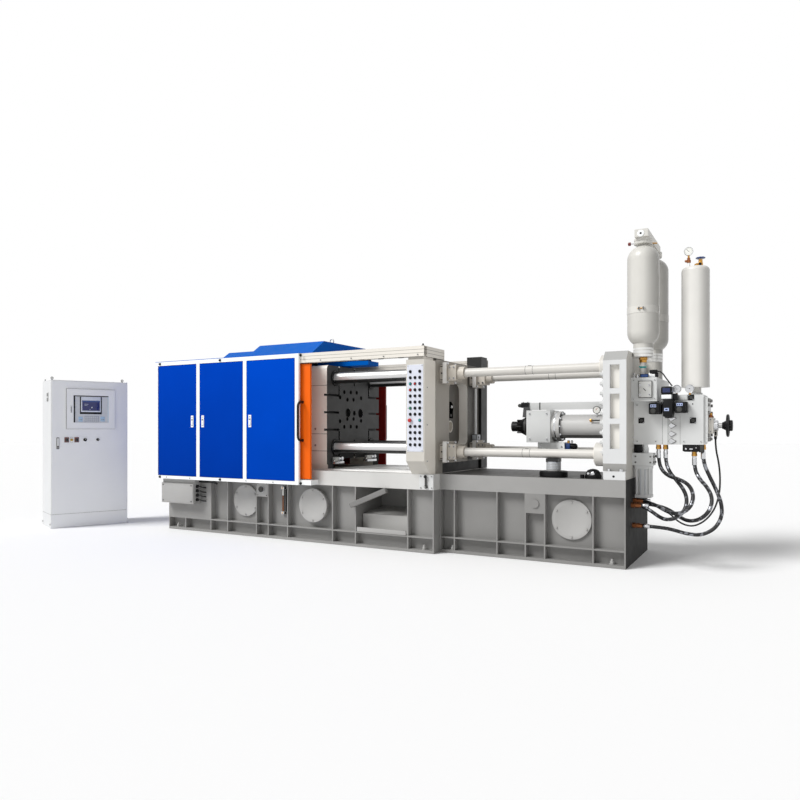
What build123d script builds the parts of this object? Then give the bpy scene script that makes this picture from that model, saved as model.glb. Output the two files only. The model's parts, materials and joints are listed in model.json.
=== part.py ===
from build123d import *
import math
import os

os.makedirs("parts", exist_ok=True)

# Cold-chamber die casting machine with its control cabinet, in millimetres.
# X runs along the machine to the shot end, Y to the rear and Z up.
# The origin is on the floor, at the middle of the base's length, on the machine's centre line.

# Base
base_height = 810
clamp_base_length = 3790
clamp_base_width = 1460
shot_base_length = 1870
shot_base_width = 1174
web_recess = 80
apron_height = 160
foot_flange = 30
middle_flange_z = 150
middle_flange = 15
rib = 14
clamp_rib_shares = (0.254, 0.350, 0.509, 0.572, 0.672, 0.892)
low_rib_share = 0.103
shot_rib_shares = (0.088, 0.336, 0.493, 0.596, 0.842)
cover_z = 415
cover_margin = 15
cover_thickness = 20
cover_neck = 60
clamp_cover_shares = (0.434, 0.798)
shot_cover_share = 0.727
anchor_hole_radius = 14
anchor_inset = 130
lifting_plate_height = 190
lifting_plug_radius = 41
lifting_plug_length = 12
drop_opening_length = 633
drop_opening_inset = 310
chute_depth = 560
chute_plate = 12
ramp_setback = 130
ramp_front_height = 181
ramp_back_height = 224

# Platens, tie bars and their ways
axis_z = 1470
platen_width = 1160
platen_height = 1080
platen_thickness = 350
platen_corner = 45
open_gap = 1120
base_tail = 230
fixed_platen_thickness = 260
platen_setback = 50
tie_bar_radius = 65
tie_bar_y = 400
tie_bar_z = 400
tie_bush_radius = 95
tie_bush_depth = 6
slide_clearance = 0.3
bore_clearance = 0.05
way_thickness = 12
way_inner_y = 432
way_width = 128
shoe_height = 50
t_slot_width = 26
t_slot_depth = 40
t_slot_rise = 200
t_slot_reach = 250
shot_axis_drop = 165
sleeve_radius = 55
ejector_radius = 55
ejector_y = 140
center_hole_radius = 30
upper_hole_rise = 55
upper_hole_radius = 60
upper_hole_slot = 70
upper_hole_drop = 120
rear_recess_depth = 105
rear_recess_y = 250
rear_recess_z = 345
rear_recess_drop = 25
rear_recess_corner = 90
tray_thickness = 10
tray_margin = 20

# Sheet-metal guard
guard_overhang = 170
guard_tail = 60
guard_bottom = 655
guard_top = 2120
guard_lead = 160
frame_depth = 30
frame_post = 44
frame_last_post = 51
mullion = 52
top_member = 46
bottom_member = 38
door_gap = 5
door_shares = (0.323, 0.335, 0.342)
door_thickness = 25
hinge_pin_radius = 6
hinge_pin_length = 20
sill_thickness = 25
wall_sheet = 20
rear_panel_thickness = 10
roof_sheet = 6
roof_foot_half = 640
roof_ridge_half = 350
roof_height = 194
roof_low_height = 114
roof_start = 840
roof_step = 1240
roof_end_gap = 40
hood_half = 120
hood_reach = 430
hood_overlap = 300
hood_clearance = 25
hood_depth = 50
hood_flange = 10

# Rails and sliding safety doors
rail_height = 105
rail_width = 80
rail_wall = 8
rail_lip = 15
rail_slot = 40
rail_hidden_length = 1270
cross_rail_width = 80
cross_rail_length = 450
cross_rail_corner = 60
safety_door_width = 1360
safety_door_thickness = 30
safety_door_lead = 120
safety_door_bottom = 721
safety_door_top_gap = 9
hanger_length = 100
hanger_height = 50
hanger_inset = 140
handle_length = 458
handle_radius = 13
handle_stand = 90
handle_leg_radius = 11
handle_z = 1365
track_end_length = 150
track_end_height = 55

# Operator's console
console_offset = 59
console_width = 209
console_front = 860
console_depth = 250
console_gap = 30
console_skirt = 140
console_neck_inset = 16
panel_width = 180
panel_height = 880
panel_thickness = 4
panel_top_gap = 55
button_rows = 13
button_columns = 3
stop_row = 8
rows_without_middle = (0, stop_row)
button_pitch_z = 62
button_pitch_x = 54
button_bezel_radius = 15
button_bezel = 5
button_cap_radius = 10
button_cap = 9
stop_radius = 21
stop_length = 28
latch_plate_width = 160
latch_plate_height = 155
latch_plate_thickness = 12
latch_hub_radius = 18
latch_arm = 105
latch_knob_radius = 17
latch_knob_gap = 6
latch_drop = 125
rear_post_inset = 169
rear_post_width = 187
rear_post_gap = 30
rear_post_height = 1330

# Shot end
rod_radius = 45
rod_y = 400
rod_z = 1452
rod_spread = 415
clamp_pad = 45
clamp_pad_size = 168
clamp_plate = 46
clamp_size = 220
clamp_block = 160
clamp_block_length = 93
clamp_neck_radius = 66
clamp_neck_length = 76
shot_frame_x = 1656
shot_frame_thickness = 211
shot_frame_width = 1080
shot_frame_height = 1196
shot_frame_chamfer = 90
pocket_depth = 45
pocket_width = 88
pocket_heights = (230, 230, 220)
pocket_gap = 50
pocket_first = 285
frame_foot_height = 78
frame_foot_depth = 45
frame_foot_inset = 18
collar_radius = 112
lower_collar_length = 90
upper_collar_length = 36
block_start = 792
block_length = 251
block_size = 330
flange_radius = 155
flange_length = 85
barrel_radius = 121
plunger_radius = 45
plunger_reach = 800
barrel_bore_radius = 60
tip_radius = 53
tip_length = 60
coupling_radius = 96
coupling_length = 132
coupling_flange = 48
coupling_gap = 12
arm_thickness = 62
arm_half = 70
bar_height = 74
bar_half = 22
bar_lift = 10
bar_end_gap = 18
guide_length = 95
guide_wall = 22
lower_block_start = 92
lower_block_length = 280
lower_block_height = 85
lower_block_half = 70
jack_offset = 1149
jack_foot_radius = 132
jack_foot_height = 41
jack_post_radius = 70
jack_saddle_half = 60
jack_saddle_height = 36

# Hydraulic manifolds, accumulators and nitrogen bottle
manifold_front = 170
manifold_back = 230
left_manifold_length = 307
left_manifold_z = 1130
left_manifold_height = 407
right_manifold_length = 308
right_manifold_z = 1133
right_manifold_height = 463
end_casting = 34
end_casting_margin = 25
valve_block_length = 230
valve_block_front = 320
valve_block_back = 480
valve_block_height = 223
accumulator_x = 94
accumulator_front_y = 220
accumulator_rear_y = 380
accumulator_radius = 145
accumulator_bottom = 2060
accumulator_top = 3015
accumulator_dome = 135
neck_ring_radius = 90
neck_ring_height = 100
neck_stem_radius = 30
rear_neck_radius = 88
bridge_gap = 65
bridge_height = 70
bridge_half = 60
bridge_overrun = 110
bridge_stem_radius = 35
bottle_radius = 124
bottle_x = 224
bottle_bottom = 1671
bottle_top = 2809
bottle_round = 40
bottle_neck_radius = 50
bottle_valve_shift = 43
bottle_valve_radius = 16
bottle_valve_height = 75
small_wheel_radius = 42
small_wheel_rim = 7
throttle_z = 1310
throttle_housing_size = 150
throttle_housing_length = 80
throttle_stem_radius = 24
throttle_stem_length = 60
handwheel_radius = 100
handwheel_rim = 12
handwheel_hub_radius = 32
handwheel_hub_length = 98
lift_bracket_length = 186
lift_bracket_z = 933
lift_bracket_height = 117
lift_bracket_half = 85
lift_cylinder_radius = 70
lift_cylinder_bottom = 626
lift_y = 170
pilot_valve_length = 210
pilot_valve_height = 68
pilot_valve_depth = 130
pilot_valve_x = 60
solenoid_spread = 114
solenoid_shift = 12
solenoid_size = 106
solenoid_reach = 125
solenoid_z = 1474
coil_size = 84
coil_drop = 92
coil_rise = 198
top_valve_length = 120
top_valve_depth = 60
top_valve_height = 50
cover_plate_width = 128
cover_plate_height = 164
cover_plate_thickness = 20
cover_plate_drop = 28
dial_radius = 40
dial_thickness = 24
dial_stem = 16
dial_stem_radius = 8
dial_first = 78
dial_pitch = 112

# Hoses and cable, with their routes as chosen points
hose_radius = 17
cable_radius = 8
fitting_radius = 24
gland_radius = 14
fitting_overlap = 20
run_share = 0.45
hose_1_route = [
    (3045, -120, 1070),
    (3045, -120, 975),
    (3078, -162, 890),
    (3155, -250, 838),
    (3255, -350, 822),
    (3345, -445, 785),
    (3395, -540, 715),
    (3392, -610, 620),
    (3320, -605, 545),
    (3220, -530, 525),
    (3130, -420, 545),
    (3045, -305, 575),
    (2925, -220, 595),
]
hose_2_route = [
    (3108, -120, 1070),
    (3108, -120, 970),
    (3145, -165, 880),
    (3215, -255, 810),
    (3285, -350, 745),
    (3332, -440, 665),
    (3330, -515, 570),
    (3260, -535, 490),
    (3165, -490, 460),
    (3085, -415, 480),
    (3015, -355, 520),
    (2925, -320, 560),
]
hose_3_route = [
    (3360, -120, 1010),
    (3360, -120, 910),
    (3405, -165, 820),
    (3485, -270, 750),
    (3535, -375, 665),
    (3520, -440, 560),
    (3440, -435, 475),
    (3335, -370, 445),
    (3240, -255, 470),
    (3150, -150, 515),
    (3040, -95, 545),
    (2925, -80, 555),
]
hose_4_route = [
    (3435, -120, 1070),
    (3435, -120, 970),
    (3490, -125, 840),
    (3550, -140, 715),
    (3595, -155, 590),
    (3595, -175, 470),
    (3535, -200, 365),
    (3425, -220, 305),
    (3300, -240, 315),
    (3170, -250, 350),
    (3040, -258, 362),
    (2925, -260, 364),
]
cable_1_route = [
    (3530, 0, 1200),
    (3530, 0, 1100),
    (3560, 5, 955),
    (3570, 15, 805),
    (3560, 30, 655),
    (3515, 40, 510),
    (3430, 38, 400),
    (3325, 32, 345),
    (3215, 28, 375),
    (3125, 30, 460),
    (3035, 38, 520),
    (2925, 42, 537),
]

# Small fittings on the base
junction_box_length = 545
junction_box_height = 250
junction_box_depth = 120
junction_box_z = 350
tray_bar_height = 45
gauge_length = 326
gauge_width = 70
gauge_depth = 40
gauge_z = 282
gauge_gap = 63
filler_radius = 39
filler_length = 40
filler_z = 568
filler_plate = 12
filler_plate_height = 170

# Control cabinet, turned about Z beside the machine
cabinet_corner = (-4122, -1494)
cabinet_turn = 67
cabinet_width = 950
cabinet_depth = 505
cabinet_height = 1909
cabinet_plinth = 177
cabinet_wall = 20
cabinet_door_thickness = 20
cabinet_door_gap = 5
cabinet_door_margin = 8
cabinet_lug = 7
cabinet_pin_radius = 4
cabinet_pin_length = 14
window_width = 596
window_height = 517
window_depth = 22
window_drop = 99
window_rim = 81
switch_radius = 14
switch_length = 22
switch_drop = 144
switch_places = (177, 240, 297, 404, 562)


def block(x, y, z, mode=Mode.ADD):
    """A rectangular block between two X, two Y and two Z values."""
    with Locations(((x[0] + x[1]) / 2, (y[0] + y[1]) / 2, (z[0] + z[1]) / 2)):
        Box(abs(x[1] - x[0]), abs(y[1] - y[0]), abs(z[1] - z[0]), mode=mode)


def round_x(x, y, z, radius, mode=Mode.ADD):
    """A cylinder along X between two X values."""
    with Locations(((x[0] + x[1]) / 2, y, z)):
        Cylinder(radius, abs(x[1] - x[0]), rotation=(0, 90, 0), mode=mode)


def round_y(x, y, z, radius, mode=Mode.ADD):
    """A cylinder along Y between two Y values."""
    with Locations((x, (y[0] + y[1]) / 2, z)):
        Cylinder(radius, abs(y[1] - y[0]), rotation=(90, 0, 0), mode=mode)


def round_z(x, y, z, radius, mode=Mode.ADD):
    """A cylinder along Z between two Z values."""
    with Locations((x, y, (z[0] + z[1]) / 2)):
        Cylinder(radius, abs(z[1] - z[0]), mode=mode)


def write(piece, name):
    """Label a finished piece and write its STEP file."""
    piece.part.label = name
    export_step(piece.part, f"parts/{name}.step")


sides = (-1, 1)

# Stations along X
base_left = -(clamp_base_length + shot_base_length) / 2
base_step = base_left + clamp_base_length
base_right = base_step + shot_base_length
fixed_right = base_step - platen_setback
fixed_left = fixed_right - fixed_platen_thickness
moving_right = fixed_left - open_gap
moving_left = moving_right - platen_thickness
thrust_left = base_left + base_tail
thrust_right = thrust_left + platen_thickness
guard_left = base_left - guard_tail
guard_right = moving_right - guard_lead
chute_right = base_step - drop_opening_inset
chute_left = chute_right - drop_opening_length
console_left = fixed_left + console_offset
console_right = console_left + console_width
frame_left = base_step + shot_frame_x
frame_right = frame_left + shot_frame_thickness
manifold_joint = frame_right + left_manifold_length
manifolds_end = manifold_joint + right_manifold_length

# Half widths and heights
clamp_half = clamp_base_width / 2
guard_half = clamp_half + guard_overhang
clamp_web = clamp_half - web_recess
shot_half = shot_base_width / 2
shot_web = shot_half - web_recess
apron_bottom = base_height - apron_height
platen_half = platen_width / 2
platen_bottom = axis_z - platen_height / 2
platen_top = axis_z + platen_height / 2
way_top = base_height + way_thickness
way_outer_y = way_inner_y + way_width
shot_z = axis_z - shot_axis_drop
frame_back = guard_half - frame_depth
rail_bottom = guard_top - rail_height
rail_y = frame_back - rail_width / 2


# Ribs and covers along the base, clear of the drop opening
plain_length = chute_left - base_left
clamp_ribs = [base_left + share * plain_length for share in clamp_rib_shares]
clamp_ribs += [chute_left - rib / 2, chute_right + rib / 2]
shot_ribs = [base_step + share * shot_base_length for share in shot_rib_shares]
clamp_covers = [base_left + share * plain_length for share in clamp_cover_shares]
shot_cover_x = base_step + shot_cover_share * shot_base_length


def rib_gap(x, rib_stations):
    """The distance from a cover's centre to the nearest rib's face."""
    return min(abs(x - station) for station in rib_stations) - rib / 2


cover_gaps = [rib_gap(x, clamp_ribs) for x in clamp_covers]
cover_gaps.append(rib_gap(shot_cover_x, shot_ribs))
cover_radius = min(cover_gaps) - cover_margin


def base_body(left, right, half, rib_stations):
    """A welded tank: a core, its flanges, apron, end plates and stiffening ribs."""
    web = half - web_recess
    block((left, right), (-web, web), (0, base_height))
    block((left, right), (-half, half), (0, foot_flange))
    block((left, right), (-half, half), (apron_bottom, base_height))
    block((left, right), (-half, half), (middle_flange_z, middle_flange_z + middle_flange))
    for end in (left, right - rib):
        block((end, end + rib), (-half, half), (0, base_height))
    for x in rib_stations:
        block((x - rib / 2, x + rib / 2), (-half, half), (foot_flange, apron_bottom))
    for side in sides:
        for x in (left + anchor_inset, right - anchor_inset):
            y = side * (half - web_recess / 2)
            round_z(x, y, (0, foot_flange), anchor_hole_radius, Mode.SUBTRACT)


# Base under the clamping unit, with the drop opening under the die space
chute_floor = middle_flange_z + middle_flange
chute_back = chute_depth - clamp_half

with BuildPart() as base_clamp_side:
    base_body(base_left, base_step, clamp_half, clamp_ribs)
    low_x = base_left + low_rib_share * plain_length
    block((low_x - rib / 2, low_x + rib / 2), (-clamp_half, clamp_half), (foot_flange, middle_flange_z))
    for side in sides:
        block(
            (base_left, clamp_ribs[0]),
            (side * clamp_web, side * clamp_half),
            (chute_floor, apron_bottom),
        )
    block((chute_left, chute_right), (-clamp_half, chute_back), (chute_floor, apron_bottom), Mode.SUBTRACT)
write(base_clamp_side, "base_clamp_side")

# Base under the shot end, with the plate that holds the lifting plug
plate_left = shot_ribs[2]
plate_right = shot_ribs[3]
plug_x = (plate_left + plate_right) / 2
plug_z = apron_bottom - lifting_plate_height / 2

with BuildPart() as base_shot_side:
    base_body(base_step, base_right, shot_half, shot_ribs)
    for side in sides:
        block(
            (plate_left, plate_right),
            (side * shot_web, side * shot_half),
            (apron_bottom - lifting_plate_height, apron_bottom),
        )
        round_y(
            plug_x,
            (side * shot_half, side * (shot_half + lifting_plug_length)),
            plug_z,
            lifting_plug_radius,
        )
write(base_shot_side, "base_shot_side")

# Round bolted covers on the webs; the second stands on a raised neck
with BuildPart() as inspection_covers:
    for side in sides:
        for x in clamp_covers:
            stand = cover_neck if x == clamp_covers[-1] else 0
            cover_y = clamp_web + stand
            round_y(x, (side * cover_y, side * (cover_y + cover_thickness)), cover_z, cover_radius)
            if stand:
                neck_radius = cover_radius - cover_thickness
                round_y(x, (side * clamp_web, side * cover_y), cover_z, neck_radius)
        round_y(
            shot_cover_x,
            (side * shot_web, side * (shot_web + cover_thickness)),
            cover_z,
            cover_radius,
        )
write(inspection_covers, "inspection_covers")

# Ramp on the floor of the drop opening
ramp_front = ramp_setback - clamp_half

with BuildPart() as drop_chute:
    with BuildSketch(Plane.YZ.offset(chute_left + chute_plate)):
        with BuildLine():
            Polyline(
                (chute_back, chute_floor),
                (chute_back, chute_floor + ramp_back_height),
                (ramp_front, chute_floor + ramp_front_height),
                (ramp_front, chute_floor),
                close=True,
            )
        make_face()
    extrude(amount=chute_right - chute_left - 2 * chute_plate)
write(drop_chute, "drop_chute")

# Hardened ways under the moving platen, and the bright tray between them
with BuildPart() as bed_plates:
    for side in sides:
        block(
            (thrust_right, fixed_left - tray_margin),
            (side * way_inner_y, side * way_outer_y),
            (base_height, way_top),
        )
    tray_half = way_inner_y - tray_margin
    block(
        (moving_right, fixed_left - tray_margin),
        (-tray_half, tray_half),
        (base_height, base_height + tray_thickness),
    )
write(bed_plates, "bed_plates")


def tie_bar_places():
    """The four tie bar centres as (Y, Z)."""
    return [(y * tie_bar_y, axis_z + z * tie_bar_z) for y in sides for z in sides]


def tie_bar_bores(x, radius):
    """Bores for the four tie bars through a platen."""
    for y, z in tie_bar_places():
        round_x(x, y, z, radius, Mode.SUBTRACT)


def die_face_slots(face_x, inward):
    """T-slot mouths in a platen's die face, the same on all four quarters."""
    x = (face_x, face_x + inward * t_slot_depth)
    half_slot = t_slot_width / 2
    slot_y = platen_half - t_slot_reach
    for y in sides:
        block(x, (y * slot_y, y * platen_half), (axis_z - half_slot, axis_z + half_slot), Mode.SUBTRACT)
        for z in sides:
            turn_z = axis_z + z * t_slot_rise
            block(
                x,
                (y * (slot_y - half_slot), y * platen_half),
                (turn_z - half_slot, turn_z + half_slot),
                Mode.SUBTRACT,
            )
            block(
                x,
                (y * (slot_y - half_slot), y * (slot_y + half_slot)),
                (turn_z, axis_z + z * platen_height / 2),
                Mode.SUBTRACT,
            )
    for z in sides:
        block(
            x,
            (-half_slot, half_slot),
            (axis_z + z * (t_slot_rise + t_slot_reach / 2), axis_z + z * platen_height / 2),
            Mode.SUBTRACT,
        )


# Moving platen on its shoes
with BuildPart() as moving_platen:
    block((moving_left, moving_right), (-platen_half, platen_half), (platen_bottom, platen_top))
    fillet(moving_platen.edges().filter_by(Axis.X), platen_corner)
    shoe_top = way_top + shoe_height
    for side in sides:
        block(
            (moving_left, moving_right),
            (side * way_inner_y, side * platen_half),
            (shoe_top, platen_bottom + platen_corner),
        )
        block(
            (moving_left, moving_right),
            (side * way_inner_y, side * way_outer_y),
            (way_top + slide_clearance, shoe_top),
        )
    tie_bar_bores((moving_left, moving_right), tie_bar_radius + slide_clearance)
    for y, z in tie_bar_places():
        round_x((moving_right - tie_bush_depth, moving_right), y, z, tie_bush_radius, Mode.SUBTRACT)
    die_face_slots(moving_right, -1)
    for y in (-ejector_y, ejector_y):
        round_x((moving_right - t_slot_depth, moving_right), y, axis_z, ejector_radius, Mode.SUBTRACT)
    round_x((moving_right - t_slot_depth, moving_right), 0, axis_z, center_hole_radius, Mode.SUBTRACT)
write(moving_platen, "moving_platen")

# Fixed platen with the shot sleeve's bore, a keyhole above it and the framed recess behind them
with BuildPart() as fixed_platen:
    block((fixed_left, fixed_right), (-platen_half, platen_half), (base_height, platen_top))
    upper_edges = fixed_platen.edges().filter_by(Axis.X).group_by(Axis.Z)[-1]
    fillet(upper_edges, platen_corner)
    tie_bar_bores((fixed_left, fixed_right), tie_bar_radius + bore_clearance)
    with BuildSketch(Plane.YZ.offset(fixed_right)):
        with Locations((0, axis_z - rear_recess_drop)):
            RectangleRounded(2 * rear_recess_y, 2 * rear_recess_z, rear_recess_corner)
    extrude(amount=-rear_recess_depth, mode=Mode.SUBTRACT)
    floor_x = (fixed_left, fixed_right - rear_recess_depth)
    round_x(floor_x, 0, shot_z, sleeve_radius, Mode.SUBTRACT)
    upper_z = axis_z + upper_hole_rise
    round_x(floor_x, 0, upper_z, upper_hole_radius, Mode.SUBTRACT)
    slot_half = upper_hole_slot / 2
    block(floor_x, (-slot_half, slot_half), (upper_z - upper_hole_drop, upper_z), Mode.SUBTRACT)
    die_face_slots(fixed_left, 1)
write(fixed_platen, "fixed_platen")

# Thrust platen at the closed end of the guard
with BuildPart() as thrust_platen:
    block((thrust_left, thrust_right), (-platen_half, platen_half), (base_height, platen_top))
    tie_bar_bores((thrust_left, thrust_right), tie_bar_radius + bore_clearance)
write(thrust_platen, "thrust_platen")

with BuildPart() as tie_bars:
    for y, z in tie_bar_places():
        round_x((thrust_left, fixed_right), y, z, tie_bar_radius)
write(tie_bars, "tie_bars")

# Guard doors, their openings and pivots, from left to right
door_bottom = guard_bottom + bottom_member + door_gap
door_top = guard_top - top_member - door_gap
post_lengths = frame_post + frame_last_post + (len(door_shares) - 1) * mullion
gap_lengths = 2 * len(door_shares) * door_gap
doors_length = guard_right - guard_left - post_lengths - gap_lengths
door_widths = [share * doors_length for share in door_shares]
door_starts = []
next_start = guard_left + frame_post + door_gap
for width in door_widths:
    door_starts.append(next_start)
    next_start += width + 2 * door_gap + mullion
door_names = ("guard_door_left", "guard_door_middle", "guard_door_right")
door_hinge_ends = (0, 1, 1)
door_axis_y = -guard_half + door_thickness / 2


def door_axis_x(index):
    """The X of a guard door's pivot, at the centre of its rounded edge."""
    inset = door_thickness / 2
    if door_hinge_ends[index] == 0:
        return door_starts[index] + inset
    return door_starts[index] + door_widths[index] - inset


def track_end(side):
    """The short end of the safety door's lower track, past the guard's last post."""
    block(
        (guard_right - frame_last_post, guard_right + track_end_length),
        (side * clamp_half, side * frame_back),
        (guard_bottom, guard_bottom + track_end_height),
    )


# Front frame of the guard, with pivot pins and the sill that bolts to the base
with BuildPart() as guard_frame:
    block((guard_left, guard_right), (-guard_half, -frame_back), (guard_bottom, guard_top))
    for start, width in zip(door_starts, door_widths):
        block(
            (start - door_gap, start + width + door_gap),
            (-guard_half, -frame_back),
            (door_bottom - door_gap, door_top + door_gap),
            Mode.SUBTRACT,
        )
    for index in range(len(door_widths)):
        x = door_axis_x(index)
        round_z(x, door_axis_y, (door_top + door_gap, door_top - hinge_pin_length), hinge_pin_radius)
        round_z(x, door_axis_y, (door_bottom - door_gap, door_bottom + hinge_pin_length), hinge_pin_radius)
    block(
        (base_left, guard_right),
        (-frame_back, -clamp_half),
        (guard_bottom, guard_bottom + sill_thickness),
    )
    track_end(-1)
write(guard_frame, "guard_frame")

# Swinging guard doors, each with a full-round pivot edge
for index, name in enumerate(door_names):
    start = door_starts[index]
    width = door_widths[index]
    pivot_x = door_axis_x(index)
    half_door = door_thickness / 2
    plain = (pivot_x, start + width) if door_hinge_ends[index] == 0 else (start, pivot_x)
    with BuildPart() as guard_door:
        block(plain, (-guard_half, -guard_half + door_thickness), (door_bottom, door_top))
        round_z(pivot_x, door_axis_y, (door_bottom, door_top), half_door)
        pivot_bore = hinge_pin_radius + bore_clearance
        pivot_depth = hinge_pin_length + door_gap
        round_z(pivot_x, door_axis_y, (door_bottom, door_bottom + pivot_depth), pivot_bore, Mode.SUBTRACT)
        round_z(pivot_x, door_axis_y, (door_top - pivot_depth, door_top), pivot_bore, Mode.SUBTRACT)
    write(guard_door, name)

# Closed left end and rear of the guard
with BuildPart() as guard_end_panel:
    block((guard_left, guard_left + wall_sheet), (-frame_back, frame_back), (guard_bottom, guard_top))
write(guard_end_panel, "guard_end_panel")

with BuildPart() as guard_rear_wall:
    sheet_y = guard_half - rear_panel_thickness
    block((guard_left, guard_right), (frame_back, sheet_y), (guard_bottom, guard_top))
    for start, width in zip(door_starts, door_widths):
        block(
            (start, start + width),
            (sheet_y, guard_half),
            (door_bottom, door_top),
        )
    block((base_left, guard_right), (clamp_half, frame_back), (guard_bottom, guard_bottom + sill_thickness))
    track_end(1)
write(guard_rear_wall, "guard_rear_wall")

# Roof sheet with its raised cover, lower at the left
roof_z = guard_top + roof_sheet

with BuildPart() as roof_cover:
    block((guard_left, guard_right), (-guard_half, guard_half), (guard_top, roof_z))
    for start, height in ((roof_start, roof_low_height), (roof_step, roof_height)):
        run = roof_foot_half - (roof_foot_half - roof_ridge_half) * height / roof_height
        length = guard_right - roof_end_gap - guard_left - start
        with BuildSketch(Plane.YZ.offset(guard_left + start)):
            with BuildLine():
                Polyline(
                    (-roof_foot_half, roof_z),
                    (-run, roof_z + height),
                    (run, roof_z + height),
                    (roof_foot_half, roof_z),
                    close=True,
                )
            make_face()
        extrude(amount=length)
    hood_bottom = platen_top + hood_clearance
    hood_left = guard_right - hood_overlap
    hood_top = hood_bottom + hood_depth
    block((hood_left, guard_right + hood_reach), (-hood_half, hood_half), (hood_bottom, hood_top))
    for side in sides:
        flange_y = (side * hood_half, side * (hood_half - hood_flange))
        block((hood_left, guard_right), flange_y, (hood_top, guard_top))
write(roof_cover, "roof_cover")

# Door rails along both sides, joined by a cross rail at the console
rail_left = guard_right - rail_hidden_length
with BuildPart() as top_rails:
    for side in sides:
        y = side * rail_y
        block((rail_left, console_right), (y - rail_width / 2, y + rail_width / 2), (rail_bottom, guard_top))
        inner = rail_width / 2 - rail_wall
        block(
            (rail_left, console_right),
            (y - inner, y + inner),
            (rail_bottom + rail_lip, guard_top - rail_wall),
            Mode.SUBTRACT,
        )
        block(
            (rail_left, console_right),
            (y - rail_slot / 2, y + rail_slot / 2),
            (rail_bottom, rail_bottom + rail_lip),
            Mode.SUBTRACT,
        )
write(top_rails, "top_rails")

with BuildPart() as top_cross_rail:
    cross_front = -rail_y + rail_width / 2
    block(
        (console_right - cross_rail_width, console_right),
        (cross_front, cross_front + cross_rail_length),
        (rail_bottom, guard_top),
    )
    outer_edge = top_cross_rail.edges().filter_by(Axis.Z).group_by(Axis.Y)[-1].sort_by(Axis.X)[-1]
    fillet(outer_edge, cross_rail_corner)
write(top_cross_rail, "top_cross_rail")

# Sliding safety doors hung in the rails; the front one has a bar handle
safety_right = guard_right + safety_door_lead
safety_left = safety_right - safety_door_width
safety_top = rail_bottom - safety_door_top_gap
for side, name in zip(sides, ("safety_door_front", "safety_door_rear")):
    y = side * rail_y
    half_door = safety_door_thickness / 2
    head_half = rail_width / 2 - rail_wall - door_gap
    with BuildPart() as safety_door:
        block((safety_left, safety_right), (y - half_door, y + half_door), (safety_door_bottom, safety_top))
        for x in (safety_left + hanger_inset, safety_right - hanger_inset - hanger_length):
            hanger_z = rail_bottom + rail_lip + slide_clearance
            block((x, x + hanger_length), (y - half_door, y + half_door), (safety_top, hanger_z))
            block(
                (x, x + hanger_length),
                (y - head_half, y + head_half),
                (hanger_z, hanger_z + hanger_height),
            )
        face_y = y + side * half_door
        bar_y = face_y + side * handle_stand
        bar_x = safety_right - safety_door_lead / 2
        ends = (handle_z - handle_length / 2, handle_z + handle_length / 2)
        round_z(bar_x, bar_y, ends, handle_radius)
        for z in (ends[0] + 2 * handle_radius, ends[1] - 2 * handle_radius):
            round_y(bar_x, (face_y, bar_y), z, handle_leg_radius)
    write(safety_door, name)

# Console post with a swept-back foot, its panel and buttons
console_top = rail_bottom - console_gap
console_back = console_front - console_depth

with BuildPart() as console_post:
    with BuildSketch(Plane.YZ.offset(console_left)):
        with BuildLine():
            Polyline(
                (-console_back, base_height),
                (-clamp_half, base_height),
                (-console_front, base_height + console_skirt),
                (-console_front, console_top),
                (-console_back, console_top),
                close=True,
            )
        make_face()
    extrude(amount=console_width)
    block(
        (console_left + console_neck_inset, console_right - console_neck_inset),
        (-console_front + console_neck_inset, -console_back - console_neck_inset),
        (console_top, rail_bottom),
    )
write(console_post, "console_post")

console_x = (console_left + console_right) / 2
panel_top = console_top - panel_top_gap
panel_face = -console_front - panel_thickness

with BuildPart() as button_panel:
    block(
        (console_x - panel_width / 2, console_x + panel_width / 2),
        (panel_face, -console_front),
        (panel_top - panel_height, panel_top),
    )
write(button_panel, "button_panel")

panel_center_z = panel_top - panel_height / 2


def button_place(row, column):
    """The X and Z of a button, counting rows from the top."""
    x = console_x + (column - (button_columns - 1) / 2) * button_pitch_x
    z = panel_center_z + ((button_rows - 1) / 2 - row) * button_pitch_z
    return x, z


with BuildPart() as push_buttons:
    for row in range(button_rows):
        for column in range(button_columns):
            middle_missing = column == 1 and row in rows_without_middle
            if middle_missing or (row == stop_row and column == 0):
                continue
            x, z = button_place(row, column)
            bezel_face = panel_face - button_bezel
            round_y(x, (bezel_face, panel_face), z, button_bezel_radius)
            round_y(x, (bezel_face - button_cap, bezel_face), z, button_cap_radius)
    x, z = button_place(stop_row, 0)
    round_y(x, (panel_face - stop_length / 2, panel_face), z, button_bezel_radius)
    round_y(x, (panel_face - stop_length, panel_face - stop_length / 2), z, stop_radius)
write(push_buttons, "push_buttons")

# Latch plate on the base's apron and its lever
latch_left = base_step - latch_plate_width
latch_x = (latch_left + base_step) / 2
latch_pivot_z = base_height - latch_drop
latch_face = -clamp_half - latch_plate_thickness

with BuildPart() as latch_plate:
    block(
        (latch_left, base_step),
        (latch_face, -clamp_half),
        (base_height - latch_plate_height, base_height),
    )
write(latch_plate, "latch_plate")

with BuildPart() as latch_lever:
    lever_y = latch_face - slide_clearance
    round_y(latch_x, (lever_y - latch_hub_radius, lever_y), latch_pivot_z, latch_hub_radius)
    arm_half_width = latch_hub_radius / 2
    block(
        (latch_x - arm_half_width, latch_x + arm_half_width),
        (lever_y - latch_hub_radius, lever_y - latch_hub_radius / 2),
        (latch_pivot_z, latch_pivot_z + latch_arm),
    )
    knob_y = lever_y - latch_knob_radius - latch_knob_gap
    with Locations((latch_x, knob_y, latch_pivot_z + latch_arm)):
        Sphere(latch_knob_radius)
write(latch_lever, "latch_lever")

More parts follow.
